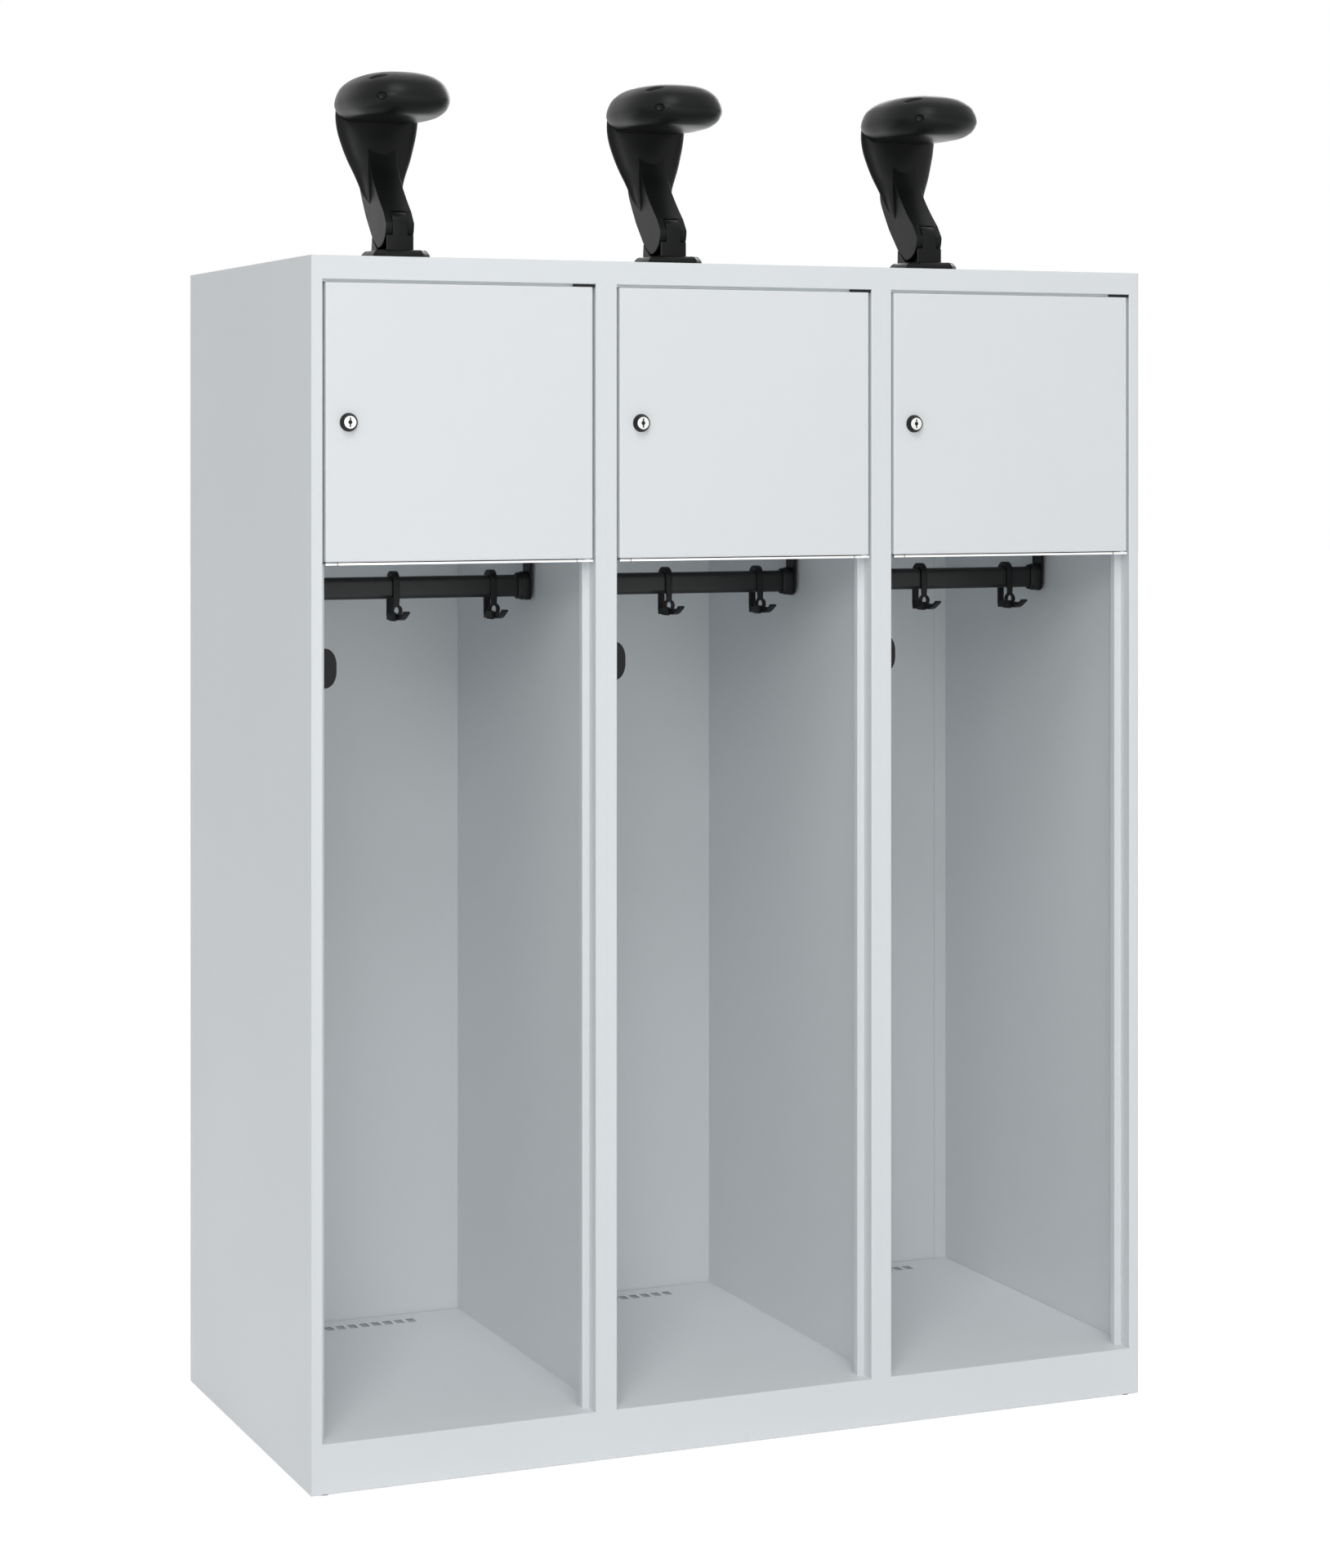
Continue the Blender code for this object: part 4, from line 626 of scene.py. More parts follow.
def makeDoors():
    # A folded pan: rings run from the lock's hole over the face, round the bend, back along the
    # return and in along the hem, and home again a sheet's thickness inside. The ring at the hole is
    # the point of the circle that lies on the line from its middle to the outer ring's point.
    bend, thick, radius = door["bend"], door["thickness"], door["cornerRadius"]
    turn = np.linspace(0, math.pi / 2, 6)
    section = [(bend + support, 0), *zip(bend * (1 - np.sin(turn)), bend * (1 - np.cos(turn)))]
    section.append((0, thick - bend - support))
    section += [*zip(bend * (1 - np.cos(turn)), thick - bend * (1 - np.sin(turn)))]
    section += [(bend + support, thick), (door["hem"], thick)]
    section += [(door["hem"], thick - sheet), (bend, thick - sheet), (sheet + support, thick - bend)]
    section += [(sheet, thick - bend - support), (sheet, bend + support), (bend + support, sheet)]
    hole = lock["sleeve"] + seam
    for bay in bays:
        number = bay + 1
        left = bay * pitch + stile + door["sideGap"]
        right = number * pitch - stile - door["sideGap"]
        corners = oblong(left, right, doorBottom, doorTop)
        rim = denser(roundedPath(corners, radius, closed=True)[0], door["step"])
        middle = np.array([(left + right) / 2, (doorBottom + doorTop) / 2])
        half = np.array([right - left, door["height"]]) / 2
        lockAt = np.array([left + lock["inset"], lockUp])
        # Drawn in from the rim: the flats move by the inset, the corner arcs shrink with it
        core = np.clip(rim - middle, -(half - radius), half - radius)
        arm = rim - middle - core
        rings = []
        for inset, depth in section:
            shrink = max(radius - inset, 0) / radius
            drawn = core * (1 - max(inset - radius, 0) / (half - radius)) + arm * shrink
            rings.append(atLevel(middle + drawn, -depth))
        toRim = rings[0][:, :2] - lockAt
        bore = lockAt + hole * toRim / np.linalg.norm(toRim, axis=1, keepdims=True)
        rings = [atLevel(bore, 0), *rings, atLevel(bore, -sheet)]
        pan = gridShell(rings, alongY(), closeRows=True)
        body = f"door_body_{number}"
        addPiece(f"door{number}Pan", meshOf([pan], 50), paleLitDoorCoat, f"door_{number}", body=body)
        makeLock(number, (lockAt[0], 0, lockAt[1]))


def makeLock(number, at):
    # Rosette, sleeve and nut in one turned section
    foot, sleeve, back = lock["rosetteFoot"], lock["sleeve"], -lock["sleeveReach"]
    bore, under = lock["barrel"] + seam, -sheet - seam
    nutEnd = under - lock["nutHeight"]
    corners = [(bore, lock["rosetteProud"]), (lock["rosetteTip"], lock["rosetteProud"])]
    corners += [(foot, seam + lock["rosetteRim"]), (foot, seam), (sleeve, seam), (sleeve, under)]
    corners += [(lock["nutRadius"], under), (lock["nutRadius"], nutEnd), (sleeve, nutEnd)]
    corners += [(sleeve, back), (bore, back)]
    profile = roundedPath(corners, lock["rosetteSoft"], closed=True, steps=3)[0]
    rosette = meshOf([latheShell(profile, 64, alongY(at), closed=True)])
    held, body = f"lock_rosette_{number}", f"door_body_{number}"
    addPiece(f"lockRosette{number}", rosette, blackPlastic, held, body=body)
    makeCylinder(number, at)


def makeCylinder(number, at):
    # The face runs from the rim to the keyhole. The keyhole's radius at an angle is the larger of the
    # eye's radius and the distance to the edge of the upright slot. A dark plug fills the keyhole a
    # little below the face: painted shade for the dark inside of the hole.
    ring = roundPoints(np.linspace(0, math.tau, 144, endpoint=False))
    steep = np.maximum(np.abs(ring), 1e-9)
    slot = np.minimum(lock["keyholeHalfWidth"] / steep[:, 0], lock["keyholeHalfHeight"] / steep[:, 1])
    keyhole = np.maximum(slot, lock["keyholeEye"])[:, None]
    face, stub, barrel = lock["rosetteProud"] - lock["barrelRecess"], lock["stub"], lock["barrel"]
    shoulder, stubEnd = seam - lock["camSetback"], -lock["camSetback"] - lock["camThickness"]
    bottom, soft, rim = face - lock["keyholeDepth"], lock["barrelSoft"], lock["keyholeSoft"]
    circles = [(stub, stubEnd), (stub, shoulder), (barrel, shoulder), (barrel, face - soft)]
    circles += [(barrel - soft * 0.3, face - soft * 0.3)]
    circles += [(barrel - soft, face), (barrel - soft * 1.1, face)]
    rows = [atLevel(ring * radius, level) for radius, level in circles]
    for grow, level in ((rim, face), (0, face - rim), (0, bottom)):
        rows.append(atLevel(ring * (keyhole + grow), level))
    cylinder, body = meshOf([gridShell(rows, alongY(at))]), f"lock_body_{number}"
    addPiece(f"lockCylinder{number}", cylinder, nickelPlate, f"lock_cylinder_{number}", body=body)
    outline = ring * (keyhole - cabinet["seamShown"])
    levels = (face - lock["keyholeShadeSunk"], bottom + cabinet["seamShown"])
    plug = meshOf([gridShell([atLevel(outline, level) for level in levels], alongY(at))])
    addPiece(f"lockKeyholeShade{number}", plug, blackPlastic, body=body)


makeSidePanels()
makeDividers()
makeRoof()
makeBase()
makeShelves()
makeDoors()
print("cabinet, doors and locks made")


# Rails, brackets and hooks

rail = {
    "height": 0.030, "depth": 0.015, "wall": 0.0012, "belowShelf": 0.0432, "setback": 0.259,
    "soft": 0.0002, "plate": 0.004, "inset": 0.0045, "plateDepth": 0.024, "plateDrop": 0.0195,
    "collar": 0.0155, "collarWall": 0.003, "swell": 0.0012, "waist": 0.0060, "plateEdge": 0.0006,
}
railUp = shelfTop - rail["belowShelf"]
railOval = stadium(rail["depth"], rail["height"])


def makeRails():
    # Rows of the tube's inset and place along it: out over its ends, and home inside its wall
    soft, wall = rail["soft"], rail["wall"]
    inset = rail["inset"] + rail["plate"] + seam
    for bay in bays:
        left, right = bayWalls(bay)
        start, end = left + inset, right - inset
        rows = [(soft, start), (0, start + soft), (0, start + 2 * soft), (0, end - 2 * soft)]
        rows += [(0, end - soft), (soft, end), (wall, end), (wall, start)]
        tube = gridShell(loft(railOval, rows), alongX((0, rail["setback"], railUp)), closeRows=True)
        addPiece(f"ovalRail{bay + 1}", meshOf([tube]), railCoat, f"garment_rail_{bay + 1}")


def makeBrackets():
    # A plate hung from the shelf with a rounded foot, and a stepped collar round the tube's end
    radius = rail["plateDepth"] / 2
    top, foot = rail["belowShelf"] - sheet - seam, -(rail["plateDrop"] - radius)
    lower = radius * roundPoints(np.linspace(math.pi, math.tau, 20)) + (0, foot)
    outline = np.concatenate([lower, [(radius, top), (-radius, top)]])
    wall, plate, reach = rail["collarWall"], rail["plate"], rail["collar"] + rail["plate"]
    thick, waist = -wall - rail["swell"], reach - rail["waist"]
    # The steps between the thick end, the waist and the rim turn in tenths of a millimetre
    steps = [(-seam, plate / 2), (thick, plate / 2), (thick, waist - 0.0008)]
    steps += [(thick + 0.0003, waist - 0.0002), (-wall - 0.0001, waist), (-wall, waist + 0.0002)]
    steps += [(-wall, reach - 0.0012)]
    steps += [(-wall + 0.0004, reach - 0.0004), (-wall + 0.0012, reach), (-seam, reach)]
    for bay in bays:
        for side, wallAt, sign in zip(("left", "right"), bayWalls(bay), (1, -1)):
            place = alongX((wallAt + sign * rail["inset"], rail["setback"], railUp))
            strip = plateShell(outline, 0, sign * plate, sign * rail["plateEdge"], place)
            rows = [(inset, sign * along) for inset, along in steps]
            collar = gridShell(loft(railOval, rows), place, closeRows=True)
            label, name = f"railBracket{bay + 1}{side.title()}", f"rail_bracket_{bay + 1}_{side}"
            addPiece(label, meshOf([strip, collar]), blackPlastic, name)


hook = {
    "perRail": 3, "spacing": 0.140, "bandHalf": 0.00475, "waistHalf": 0.00415, "waistDrop": 0.0195,
    "armHalf": 0.0045, "leg": 0.003, "rearReach": 0.0185, "rearLeg": 0.0035, "crown": 0.0071,
    "drop": 0.029, "armHeight": 0.0092, "sink": 0.004, "boatEdge": 0.0012, "tipRise": 0.005,
    "tipBack": 0.048, "lugReach": (-0.0095, -0.0035), "lugSpan": (-0.0205, -0.006),
    "lugHeight": 0.0115, "eyeRadius": 0.0086, "eyeHole": (0.0036, 0.0051), "eyeDrop": 0.0158,
    "edge": 0.0007, "keel": 0.0004, "heel": 0.001, "saddleIn": 0.006, "saddleOut": 0.008,
    "saddleRise": 0.0006, "tipLean": 0.0012, "bandRise": 0.009, "bandTop": 0.002, "eyeEdge": 0.0001,
    "bow": [
        (-0.0300, 0.0014), (-0.0375, 0.0033), (-0.0455, 0.0075), (-0.0518, 0.0112), (-0.0529, 0.0130),
    ],
}


def hookMesh():
    # A hook about its tube's middle: an arch, whose front leg narrows and then swells into the eye, a
    # rear leg, and a boat-shaped arm across both feet
    place, edge, rear, half = alongX(), hook["edge"], hook["rearReach"], hook["bandHalf"]
    tubeTop, tubeHalf = rail["height"] / 2, rail["depth"] / 2
    legIn, rise = tubeHalf + seam, tubeTop - tubeHalf
    legOut, rearIn = legIn + hook["leg"], rear - hook["rearLeg"]
    bottom = -tubeTop - hook["drop"]
    armTop = bottom + hook["armHeight"]
    tipTop, back = armTop + hook["tipRise"], -hook["tipBack"]

    def crown(front, behind, up, turn):
        # Half an oval over the tube, between its two legs
        return roundPoints(turn) * ((behind + front) / 2, up) + ((behind - front) / 2, rise)

    turn, foot = np.linspace(0, math.pi, 25), armTop - hook["sink"]
    over = crown(legOut, rear, tubeTop + seam + hook["crown"] - rise, turn)
    within = crown(legIn, rearIn, legIn, turn[::-1])
    arch = [(rear, foot), *over, (-legOut, 0), (-legIn, 0), *within, (rearIn, foot)]
    shells = [plateShell(arch, -half, half, edge, place)]
    bow = throughPoints(np.array(hook["bow"])[::-1] + (0, bottom), 4)
    heel, saddleAt = hook["heel"], (back + hook["saddleOut"], armTop + hook["saddleRise"])
    boat = [*bow, (0, bottom + hook["keel"]), (rear - heel, bottom), (rear, bottom + heel)]
    saddle = [(-legOut - hook["saddleIn"], armTop), saddleAt, (back, tipTop)]
    boat += [(rear, armTop), (-legOut, armTop), *throughPoints(saddle, 6)]
    boat.append((bow[0, 0] + hook["tipLean"], tipTop))
    shells.append(plateShell(boat, -hook["armHalf"], hook["armHalf"], hook["boatEdge"], place, 4))
    lug = oblong(*hook["lugSpan"], bottom, bottom + hook["lugHeight"])
    shells.append(plateShell(lug, *hook["lugReach"], edge, place))
    eyeUp, waistUp = -tubeTop - hook["eyeDrop"], -hook["waistDrop"]
    start = math.asin(hook["waistHalf"] / hook["eyeRadius"])
    sweep = np.linspace(start, math.tau - start, 40)
    disc = roundPoints(sweep)[:, ::-1] * hook["eyeRadius"] + (0, eyeUp)
    proud = support / 2
    wide = half + proud
    full = waistUp + hook["bandRise"]
    blend = np.array([(hook["waistHalf"], waistUp), (wide, full), (wide, hook["bandTop"])])
    tongue = np.concatenate([disc, blend * (-1, 1), blend[::-1]])[::-1]
    plate = meshOf([plateShell(tongue, legIn - proud, legOut + proud, edge, alongY())], 45)
    hole = roundPoints(np.linspace(0, math.tau, 33)[:-1]) * hook["eyeHole"] + (0, eyeUp)
    eye = cutAway(plate, [plateShell(hole, 0, 0.03, hook["eyeEdge"], alongY())])
    return joinMeshes(meshOf(shells, 45), eye)


def makeHooks():
    shared = hookMesh()
    for bay in bays:
        for i in range(hook["perRail"]):
            across = (bay + 0.5) * pitch + (i - (hook["perRail"] - 1) / 2) * hook["spacing"]
            mesh, tag = shared.copy(), f"{bay + 1}_{i + 1}"
            mesh.transform(Matrix.Translation((across, rail["setback"], railUp)))
            addPiece(f"slidingHook{tag}", mesh, blackPlastic, f"hook_{tag}", body=f"hook_body_{tag}")


beltHook = {
    "setback": 0.060, "centre": 1.0285, "height": 0.0482, "reach": 0.0505, "depth": 0.040,
    "plate": 0.003, "cornerAcross": 0.014, "cornerUp": 0.020, "armLength": 0.044,
    "armHeight": 0.008, "armDrop": 0.004, "lipRise": 0.010, "edge": 0.0012, "wallEdge": 0.0006,
    "armEdge": 0.0015,
}


def makeBeltHooks():
    # A front plate with rounded corners, a wall plate, the saddle between them and a rear lip
    half, plate, length = beltHook["height"] / 2, beltHook["plate"], beltHook["armLength"]
    across, up = beltHook["cornerAcross"], beltHook["cornerUp"]
    upper = roundPoints(np.linspace(0, math.pi / 2, 14)) * (across, up)
    upper += (beltHook["reach"] - across, half - up)
    front = np.concatenate([[(0, -half)], upper[::-1] * (1, -1), upper, [(0, half)]])
    armTop, armEnd = -beltHook["armDrop"], beltHook["depth"] - plate
    armLow = armTop - beltHook["armHeight"]
    wall = oblong(plate / 2, beltHook["depth"], -half, half)
    arm = oblong(plate / 2, armEnd, armLow, armTop)
    lip = oblong(armEnd - plate, armEnd, armLow + plate, armTop + beltHook["lipRise"])
    edge = beltHook["edge"]
    for bay in bays:
        at = (bayWalls(bay)[0] + seam, beltHook["setback"], beltHook["centre"])
        shells = [
            plateShell(front, 0, -plate, -edge, alongY(at), 5),
            plateShell(wall, 0, plate, beltHook["wallEdge"], alongX(at)),
            plateShell(arm, plate / 2, length, beltHook["armEdge"], alongX(at), 4),
            plateShell(lip, plate / 2, length - plate, edge, alongX(at), 4),
        ]
        addPiece(f"beltHook{bay + 1}", meshOf(shells, 45), blackPlastic, f"belt_hook_{bay + 1}")


makeRails()
makeBrackets()
makeHooks()
makeBeltHooks()
print("rails, brackets and hooks made")


# Helmet holders

holder = {
    "setback": 0.250, "baseSize": 0.080, "baseHeight": 0.0225, "baseCorner": 0.014,
    "baseChamfer": 0.008, "baseShoulder": 0.0155, "baseOffset": 0.004, "baseRound": 0.0015,
    "baseSoft": 0.0004, "pivot": 0.059, "knuckle": 0.016, "knuckleWidth": 0.021,
    "cheekWidth": 0.0372, "cheekThickness": 0.0027, "cheekStep": 0.0005, "cheekEdge": 0.0005,
    "restWidth": 0.040, "restFlare": 0.14, "armWidth": 0.040, "sweep": 0.200, "jawGap": 0.0006,
    "jawDepth": 0.06, "sideGap": 0.0004, "neckHalfWidth": 0.060, "neckHalfDepth": 0.0195,
    "edge": 0.0007, "pin": [(0.003, -0.017), (0.003, 0.017)], "screwOut": 0.025,
    "screw": [(0.0045, -0.0043), (0.0045, -0.0013), (0.0025, -0.0013), (0.0025, 0.014)],
}
armFront = [(-0.024, 0.375), (0.054, 0.450), (0.116, 0.515), (0.172, 0.580)]
armFront += [(0.242, 0.680), (0.289, 0.804), (0.320, 0.900)]
armRear = [(0.343, 0.364), (0.430, 0.494), (0.480, 0.585)]
armRear += [(0.488, 0.660), (0.480, 0.800), (0.470, 0.900)]
heelLine = [(0.095, 0.135), (0.210, 0.2125)]
neckCut = [(0.250, 0.4285), (0.320, 0.5775)]
neckKnots = [
    (0.400, 0.275, 0.405, 0.50), (0.450, 0.290, 0.440, 0.52), (0.520, 0.3075, 0.500, 0.56),
    (0.580, 0.322, 0.540, 0.62), (0.645, 0.338, 0.615, 0.70), (0.740, 0.360, 0.748, 0.86),
    (0.835, 0.380, 0.855, 0.94), (0.935, 0.395, 0.945, 0.98), (1.030, 0.400, 0.985, 1.00),
    (1.120, 0.400, 0.970, 0.98),
]
head = {
    "halfWidth": 0.071, "halfLength": 0.097, "height": 0.0632, "bottom": 0.199, "offset": 0.017,
    "power": 2.5, "points": 260, "crowd": (238, 0.35, 3), "neckEnd": 0.985, "nearTop": -0.02,
    "recessAt": (-0.040, -0.043, 0.2500), "recessAlong": (0.83, -0.56, 0.17),
    "recessOut": (-0.30, -0.20, 0.93), "recessHalf": (0.0175, 0.0062), "recessDepth": 0.0026,
    "slitLength": 0.025, "slitWidth": 0.0026, "slitSpan": (-0.012, 0.02), "slitEdge": 0.0002,
    "dimpleAt": (-0.044, -0.0675, 0.2225), "dimpleTurn": 40, "dimpleHalf": (0.0072, 0.0056, 0.0050),
}
headKnots = [
    (0.56, 0.000), (0.70, 0.018), (0.81, 0.060), (0.92, 0.155), (0.98, 0.270), (1.00, 0.385),
    (0.965, 0.560), (0.88, 0.730), (0.70, 0.880), (0.44, 0.965), (0.18, 0.995), (0.03, 1.000),
]


def holderBaseShells(at):
    # Base, knuckle, cheeks, the rest behind the arm, pin and two screws. Along the base's upper edge
    # a share s of the way in goes in by s ** 1.4 of the chamfer and up by 1 - (1 - s) ** 1.5.
    at, pivot, radius = np.asarray(at), holder["pivot"], holder["knuckle"]
    rise, half = holder["baseHeight"], holder["baseSize"] / 2
    middle, short = rise / 2, half - holder["baseCorner"]
    corners = [(half, -short), (half, short), (short, half), (-short, half)]
    corners += [(-x, -y) for x, y in corners]
    octagon = roundedPath(corners, holder["baseRound"], closed=True, steps=3)[0]
    octagon += (0, holder["baseOffset"])
    chamfer, shoulder, soft = holder["baseChamfer"], holder["baseShoulder"], holder["baseSoft"]
    rows = [(soft, seam), (0, seam + soft), (0, shoulder - soft)]
    for s in np.linspace(0, 1, 9):
        rows.append((chamfer * s**1.4, shoulder + (rise - shoulder) * (1 - (1 - s) ** 1.5)))
    rows.append((chamfer + soft, rise))
    dome = radius * roundPoints(np.linspace(0, math.pi, 33)) + (0, pivot)
    knuckle = np.concatenate([dome, [(-radius, middle), (radius, middle)]])
    thick = holder["cheekThickness"]
    front, above = -radius - thick / 3, pivot - radius - holder["cheekStep"]
    cheek = oblong(front, front + thick, middle, above)
    rest = restOutline()
    top = rest[:, 1].max()

    def flared(grid):
        # The rest widens towards its foot
        share = np.clip((top - grid[..., 1:2]) / (top - middle), 0, 1)
        wider = grid[..., 2:] * (1 + holder["restFlare"] * share)
        return alongX(at)(np.concatenate([grid[..., :2], wider], axis=-1))

    shells = [gridShell(loft(octagon, rows), alongZ(at))]
    blocks = [(knuckle, "knuckleWidth", holder["edge"], alongX(at))]
    blocks += [(cheek, "cheekWidth", holder["cheekEdge"], alongX(at))]
    blocks += [(rest, "restWidth", holder["cheekEdge"], flared)]
    for outline, key, edge, place in blocks:
        shells.append(plateShell(outline, -holder[key] / 2, holder[key] / 2, edge, place))
    shells.append(latheShell(holder["pin"], 24, alongX(at + (0, 0, pivot))))
    for across in (-holder["screwOut"], holder["screwOut"]):
        shells.append(latheShell(holder["screw"], 24, alongZ(at + (across, holder["baseOffset"], 0))))
    return shells


def restOutline():
    # The arm's heel line, set off by the gap, and closed down into the plate
    (y0, z0), (y1, z1) = np.array(heelLine) * holder["sweep"]
    length = math.hypot(y1 - y0, z1 - z0)
    gap, rise = holder["jawGap"], holder["baseHeight"]
    down, back, floor = gap * (y1 - y0) / length, gap * (z1 - z0) / length, rise / 2
    footY = y0 + back - (z0 - down - rise) * (y1 - y0) / (z1 - z0)
    rear = holder["baseSize"] / 2 + holder["baseOffset"] - holder["baseChamfer"] / 2
    heel = (y1 + back, z1 - down)
    return np.array([(footY, floor), (rear, floor), (rear, rise), heel, (footY, rise)])


def legOutline():
    # Side view of the leg: the lobe swells from the knuckle's radius to the toe's as share ** 1.9,
    # then come the heel, the rear curve and, from the top down, the front curve
    heel = np.array(heelLine) * holder["sweep"]
    toe = heel[0] - (0, holder["pivot"])
    start, end = math.pi, math.atan2(toe[1], toe[0]) + math.tau
    share = np.linspace(0, 1, 28)
    radius = holder["knuckle"] + (np.hypot(*toe) - holder["knuckle"]) * share**1.9
    lobe = radius[:, None] * roundPoints(start + (end - start) * share) + (0, holder["pivot"])
    rear, front = (throughPoints(np.array(line) * holder["sweep"], 6) for line in (armRear, armFront))
    return np.concatenate([lobe, heel[1:], rear, front[::-1]])


def headReach(points):
    # How far out a point lies in the head: below 1 it is inside. The head's half width at a height is
    # its profile's share, and its plan is |x / a| ** p + |y / b| ** p = 1
    profile = throughPoints(headKnots[:6], 8)
    up = (points[..., 2] - head["bottom"]) / head["height"]
    share = np.where(up < 0, 0.01, np.interp(up, profile[:, 1], profile[:, 0]))
    power = head["power"]
    x = np.abs(points[..., 0] / head["halfWidth"] / share) ** power
    y = np.abs((points[..., 1] - head["offset"]) / head["halfLength"] / share) ** power
    return (x + y) ** (1 / power)


def neckShell(place):
    # Elliptic rings run up the neck; each upright line of the grid keeps only the part that lies
    # above the slanted cut and outside the head, and a little of what is inside it
    up, back, wide, deep = throughPoints(neckKnots, 30).T
    turn = np.linspace(0, math.tau, 72, endpoint=False)
    x = (wide * holder["neckHalfWidth"])[:, None] * np.cos(turn)
    y = (back * holder["sweep"])[:, None] + (deep * holder["neckHalfDepth"])[:, None] * np.sin(turn)
    z = np.broadcast_to((up * holder["sweep"])[:, None], x.shape)
    points = np.stack([x, y, z], axis=-1)
    (y0, z0), (y1, z1) = np.array(neckCut) * holder["sweep"]
    above = (z - z0) - (y - y0) * (z1 - z0) / (y1 - y0)
    outside = headReach(points) - head["neckEnd"]
    rows = np.arange(len(up))
    low = np.array([np.interp(0, line, rows) for line in above.T])
    first = np.array([np.argmax(line < 0) or len(up) - 1 for line in outside.T])
    at = low + (first - low) * np.linspace(0, 1, 44)[:, None]
    below = np.floor(at).astype(int)
    after = np.minimum(below + 1, len(up) - 1)
    rest = (at - below)[..., None]
    column = np.broadcast_to(np.arange(len(turn)), at.shape)
    return gridShell(points[below, column] * (1 - rest) + points[after, column] * rest, place)


def makeArm(number, at):
    # The leg's side view given its width, the neck joined on, and room for the knuckle cut out
    half, pivot = holder["armWidth"] / 2, holder["pivot"]
    leg = meshOf([plateShell(legOutline(), -half, half, holder["edge"], alongX(at))])
    arm = cutAway(leg, [neckShell(alongZ(at))], "UNION", 30)
    jawHalf = holder["knuckleWidth"] / 2 + holder["sideGap"]
    jawReach = holder["knuckle"] + holder["jawGap"]
    low, high = (-jawHalf, -holder["jawDepth"], 0), (jawHalf, jawReach, pivot + jawReach)
    jaw = boxShell(low, high, alongZ(at))
    arm, name = cutAway(arm, [jaw], sharpest=30), f"helmet_arm_{number}"
    addPiece(f"holderArm{number}", arm, holderPlastic, name, body=f"helmet_body_{number}")


def crowdedTurn(count, spot, reach, closeness):
    # Angles round a circle that crowd together by the closeness within reach of a spot in degrees
    fine = np.linspace(0, math.tau, 4000)
    crowd = 1 + closeness * np.exp(-(((fine - math.radians(spot)) / reach) ** 2))
    total = np.cumsum(crowd) - crowd[0]
    return np.interp(np.linspace(0, total[-1], count), total, fine)[:-1]


def makeHead(number, at):
    # The profile's shares run up the head, the superellipse runs round it, and a soft elliptic
    # hollow of depth * (1 - d squared) squared is pressed in round the slit
    at, profile = np.asarray(at), throughPoints(headKnots, 12)
    circle = roundPoints(crowdedTurn(head["points"], *head["crowd"]))
    halves = (head["halfWidth"], head["halfLength"])
    plan = np.sign(circle) * np.abs(circle) ** (2 / head["power"]) * halves
    rings = profile[:, None, :1] * plan[None] + (0, head["offset"])
    up = np.broadcast_to(profile[:, None, 1:], (*rings.shape[:2], 1))
    level = head["bottom"] + head["height"] * up
    points = np.concatenate([rings, level], axis=-1)
    along = np.array(head["recessAlong"]) / np.linalg.norm(head["recessAlong"])
    outward = head["recessOut"] - along * np.dot(head["recessOut"], along)
    outward /= np.linalg.norm(outward)
    sideways = np.cross(outward, along)
    offset = points - head["recessAt"]
    longHalf, shortHalf = head["recessHalf"]
    away = np.hypot(offset @ along / longHalf, offset @ sideways / shortHalf)
    nearTop = offset @ outward > head["nearTop"]
    press = head["recessDepth"] * np.clip(1 - away**2, 0, 1) ** 2 * nearTop
    mesh = meshOf([gridShell(points - press[..., None] * outward, alongZ(at))])
    slit = stadium(head["slitWidth"], head["slitLength"], 10)
    turned, centre = np.stack([sideways, along, outward]), np.array(head["recessAt"]) + at
    low, high = head["slitSpan"]
    slitShell = plateShell(slit, low, high, head["slitEdge"], lambda grid: grid @ turned + centre)
    facing, arc = math.radians(head["dimpleTurn"]), np.linspace(0.06, math.pi - 0.06, 24)
    wide, tall, deep = head["dimpleHalf"]
    across = np.array([math.cos(facing), -math.sin(facing), 0]) * wide
    front = np.array([-math.sin(facing), -math.cos(facing), 0]) * deep
    ball, dimple = roundPoints(arc)[:, ::-1] * (1, -1), np.stack([across, front, (0, 0, tall)])
    dimpleAt = np.array(head["dimpleAt"]) + at
    ballShell = latheShell(ball, 40, lambda grid: grid @ dimple + dimpleAt)
    mesh, name = cutAway(mesh, [slitShell, ballShell]), f"helmet_head_{number}"
    addPiece(f"holderHead{number}", mesh, holderPlastic, name, body=f"helmet_body_{number}")


def makeHolders():
    for number in range(1, cabinet["bays"] + 1):
        at = ((number - 0.5) * pitch, holder["setback"], cabinet["height"])
        base = meshOf(holderBaseShells(at))
        addPiece(f"holderBase{number}", base, holderPlastic, f"helmet_base_{number}")
        makeArm(number, at)
        makeHead(number, at)


makeHolders()
print("helmet holders made")


# Nodes that stay as they are packed take the first material of their slot
for part in frame["record"]["subparts"]:
    node = frame["nodes"][part["node"]]
    node.data.materials.clear()
    node.data.materials.append(slotMaterials[part["material_slot"]][0])


# Studio

studio = {
    "ambient": 0.37, "floorColour": "#f4f5f6", "floorLift": 0.72, "floorSize": 30.0,
    "floorRoughness": 0.8, "floorSheen": 0.2,
}
# Square soft boxes: where they stand, what they face, their side in metres and their power in watts
softBoxes = {
    "key": {"at": (-3.2, -5.2, 3.6), "aim": (0, 0, 0.7), "size": 2.0, "power": 78},
    "fill": {"at": (-0.6, -4.6, 1.5), "aim": (0, 0, 0.9), "size": 2.5, "power": 22},
    "high": {"at": (-1.6, -4.4, 7.2), "aim": (0, 0.1, 0.3), "size": 3.6, "power": 175},
    "rear": {"at": (2.6, 3.8, 2.6), "aim": (0, 0, 0.9), "size": 2.5, "power": 60},
}


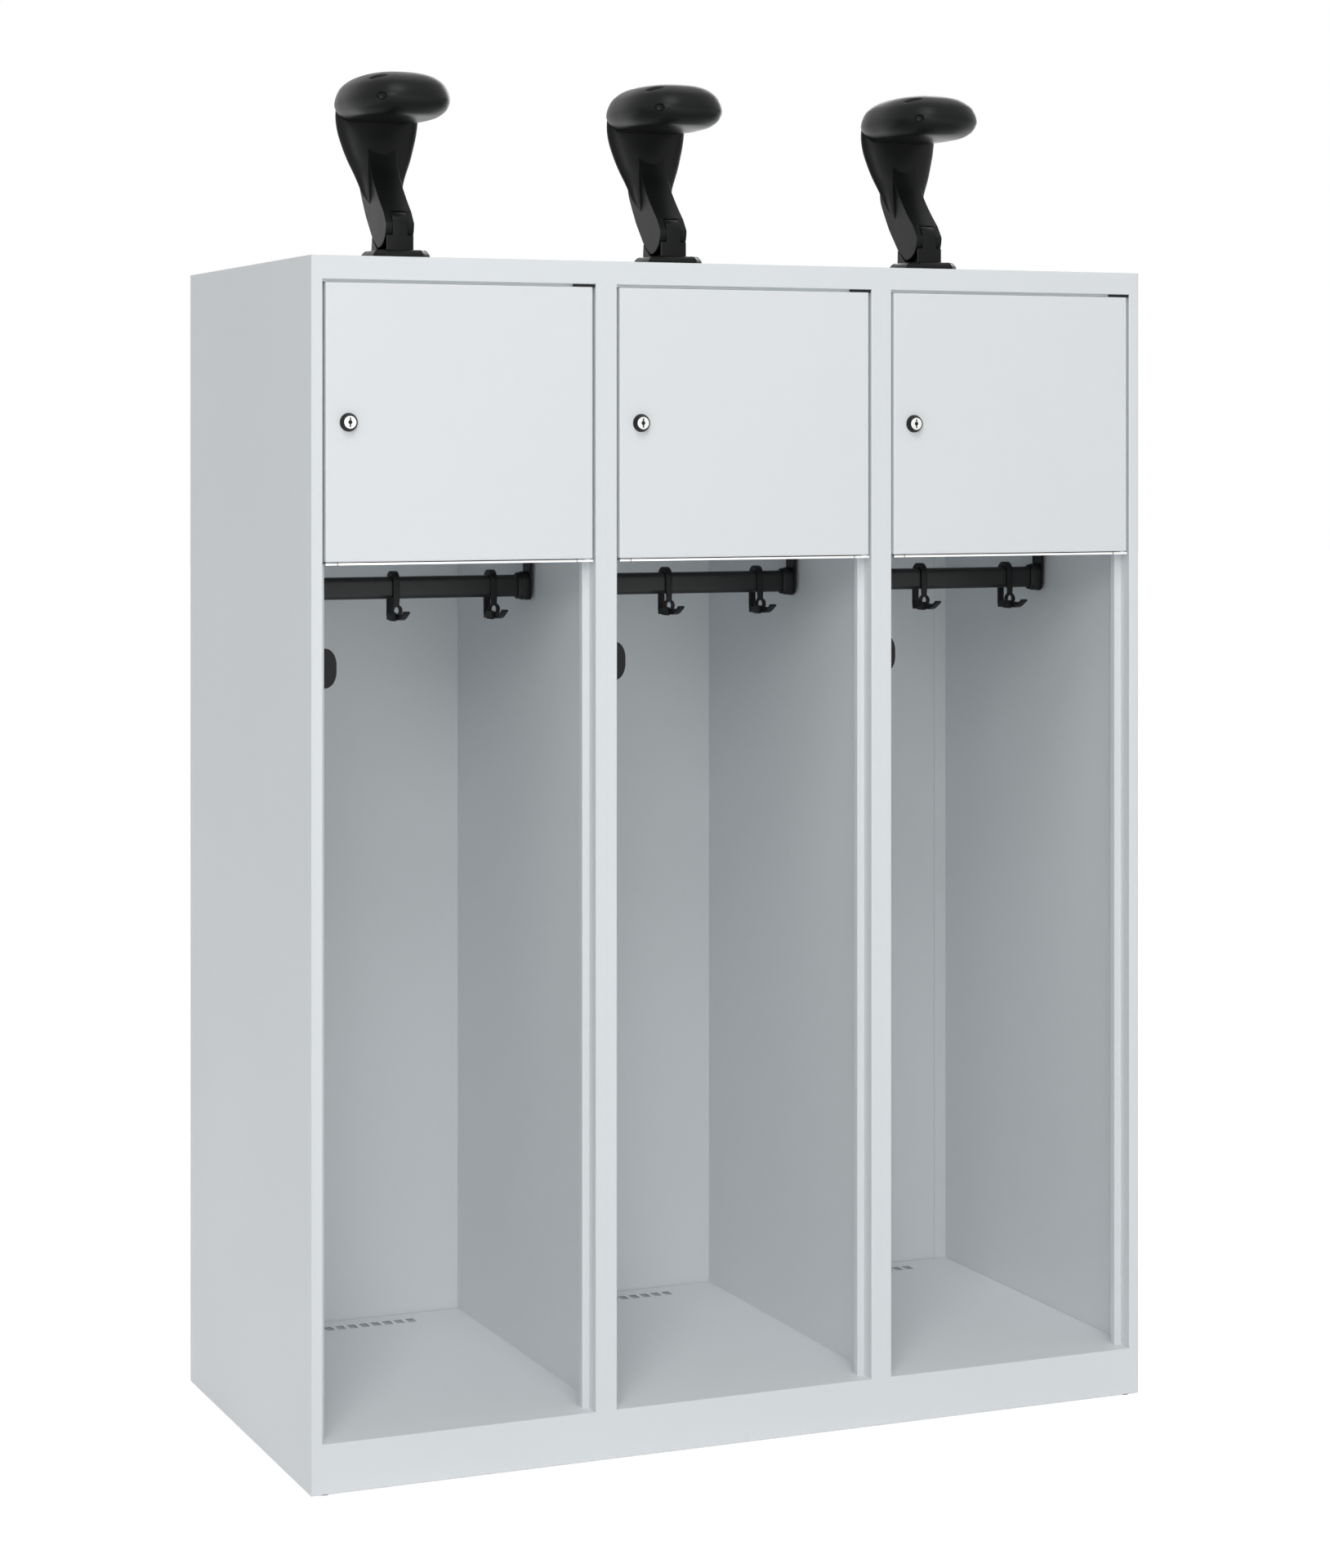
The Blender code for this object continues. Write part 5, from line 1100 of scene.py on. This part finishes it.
def seenRays(tree):
    # 1 for a ray that shows the background: straight from the camera, mirrored or through glass
    path = addNode(tree, "ShaderNodeLightPath")
    seen = path.outputs["Is Camera Ray"]
    for kind in ("Is Glossy Ray", "Is Transmission Ray"):
        both = {0: seen, 1: path.outputs[kind]}
        seen = addNode(tree, "ShaderNodeMath", {"operation": "MAXIMUM"}, both).outputs[0]
    return seen


def makeStudio():
    world = bpy.data.worlds.new("studio")
    bpy.context.scene.world = world
    world.use_nodes = True
    tree = world.node_tree
    tree.nodes.clear()
    levels = {"To Min": studio["ambient"], "To Max": 1.0}
    strength = addNode(tree, "ShaderNodeMapRange", levels, {"Value": seenRays(tree)})
    fed = {"Strength": strength.outputs[0]}
    sky = addNode(tree, "ShaderNodeBackground", {"Color": (1, 1, 1, 1)}, fed)
    addNode(tree, "ShaderNodeOutputWorld", None, {"Surface": sky.outputs[0]})

    size, mesh = studio["floorSize"], bpy.data.meshes.new("floor")
    square = np.column_stack([oblong(-size, size, -size, size), np.zeros(4)])
    mesh.from_pydata(square.tolist(), [], [(0, 1, 2, 3)])
    floor = addObject("floor", mesh)
    paint = bpy.data.materials.new("white_floor")
    paint.use_nodes = True
    tree = paint.node_tree
    shader = tree.nodes["Principled BSDF"]
    shader.inputs["Base Color"].default_value = linear(studio["floorColour"])
    shader.inputs["Roughness"].default_value = studio["floorRoughness"]
    shader.inputs["Specular IOR Level"].default_value = studio["floorSheen"]
    product = {"operation": "MULTIPLY", 1: studio["floorLift"]}
    lift = addNode(tree, "ShaderNodeMath", product, {0: seenRays(tree)})
    shader.inputs["Emission Color"].default_value = (1, 1, 1, 1)
    tree.links.new(lift.outputs[0], shader.inputs["Emission Strength"])
    mesh.materials.append(paint)

    for name, box in softBoxes.items():
        lamp = bpy.data.lights.new(name, "AREA")
        lamp.energy, lamp.size, lamp.shape = box["power"], box["size"], "SQUARE"
        light = addObject(name, lamp)
        x, y, z = np.array(box["aim"]) - np.array(box["at"])
        light.location = box["at"]
        light.rotation_euler = (math.atan2(math.hypot(x, y), -z), 0, math.atan2(y, x) - math.pi / 2)


# The camera stands where the photograph's lines put it, level and turned 22 degrees to the right; the
# lens shift puts the horizon above the picture's middle.
camera = {
    "at": (-1.8660, -4.1895, 1.3144), "turn": -22.06, "pixelsPerUnit": 4031,
    "picture": (1628, 1920), "horizon": 544.3, "middle": 674,
}


def makeCamera():
    data = bpy.data.cameras.new("camera")
    across, down = camera["picture"]
    data.sensor_width, data.sensor_fit = 36, "HORIZONTAL"
    data.lens = camera["pixelsPerUnit"] / across * data.sensor_width
    data.shift_x = (across / 2 - camera["middle"]) / across
    data.shift_y = (camera["horizon"] - down / 2) / across
    view = addObject("camera", data)
    view.location = camera["at"]
    view.rotation_euler = (math.pi / 2, 0, math.radians(camera["turn"]))
    bpy.context.scene.camera = view


makeStudio()
makeCamera()
bpy.context.scene.view_settings.view_transform = "Standard"
print("studio and camera set")
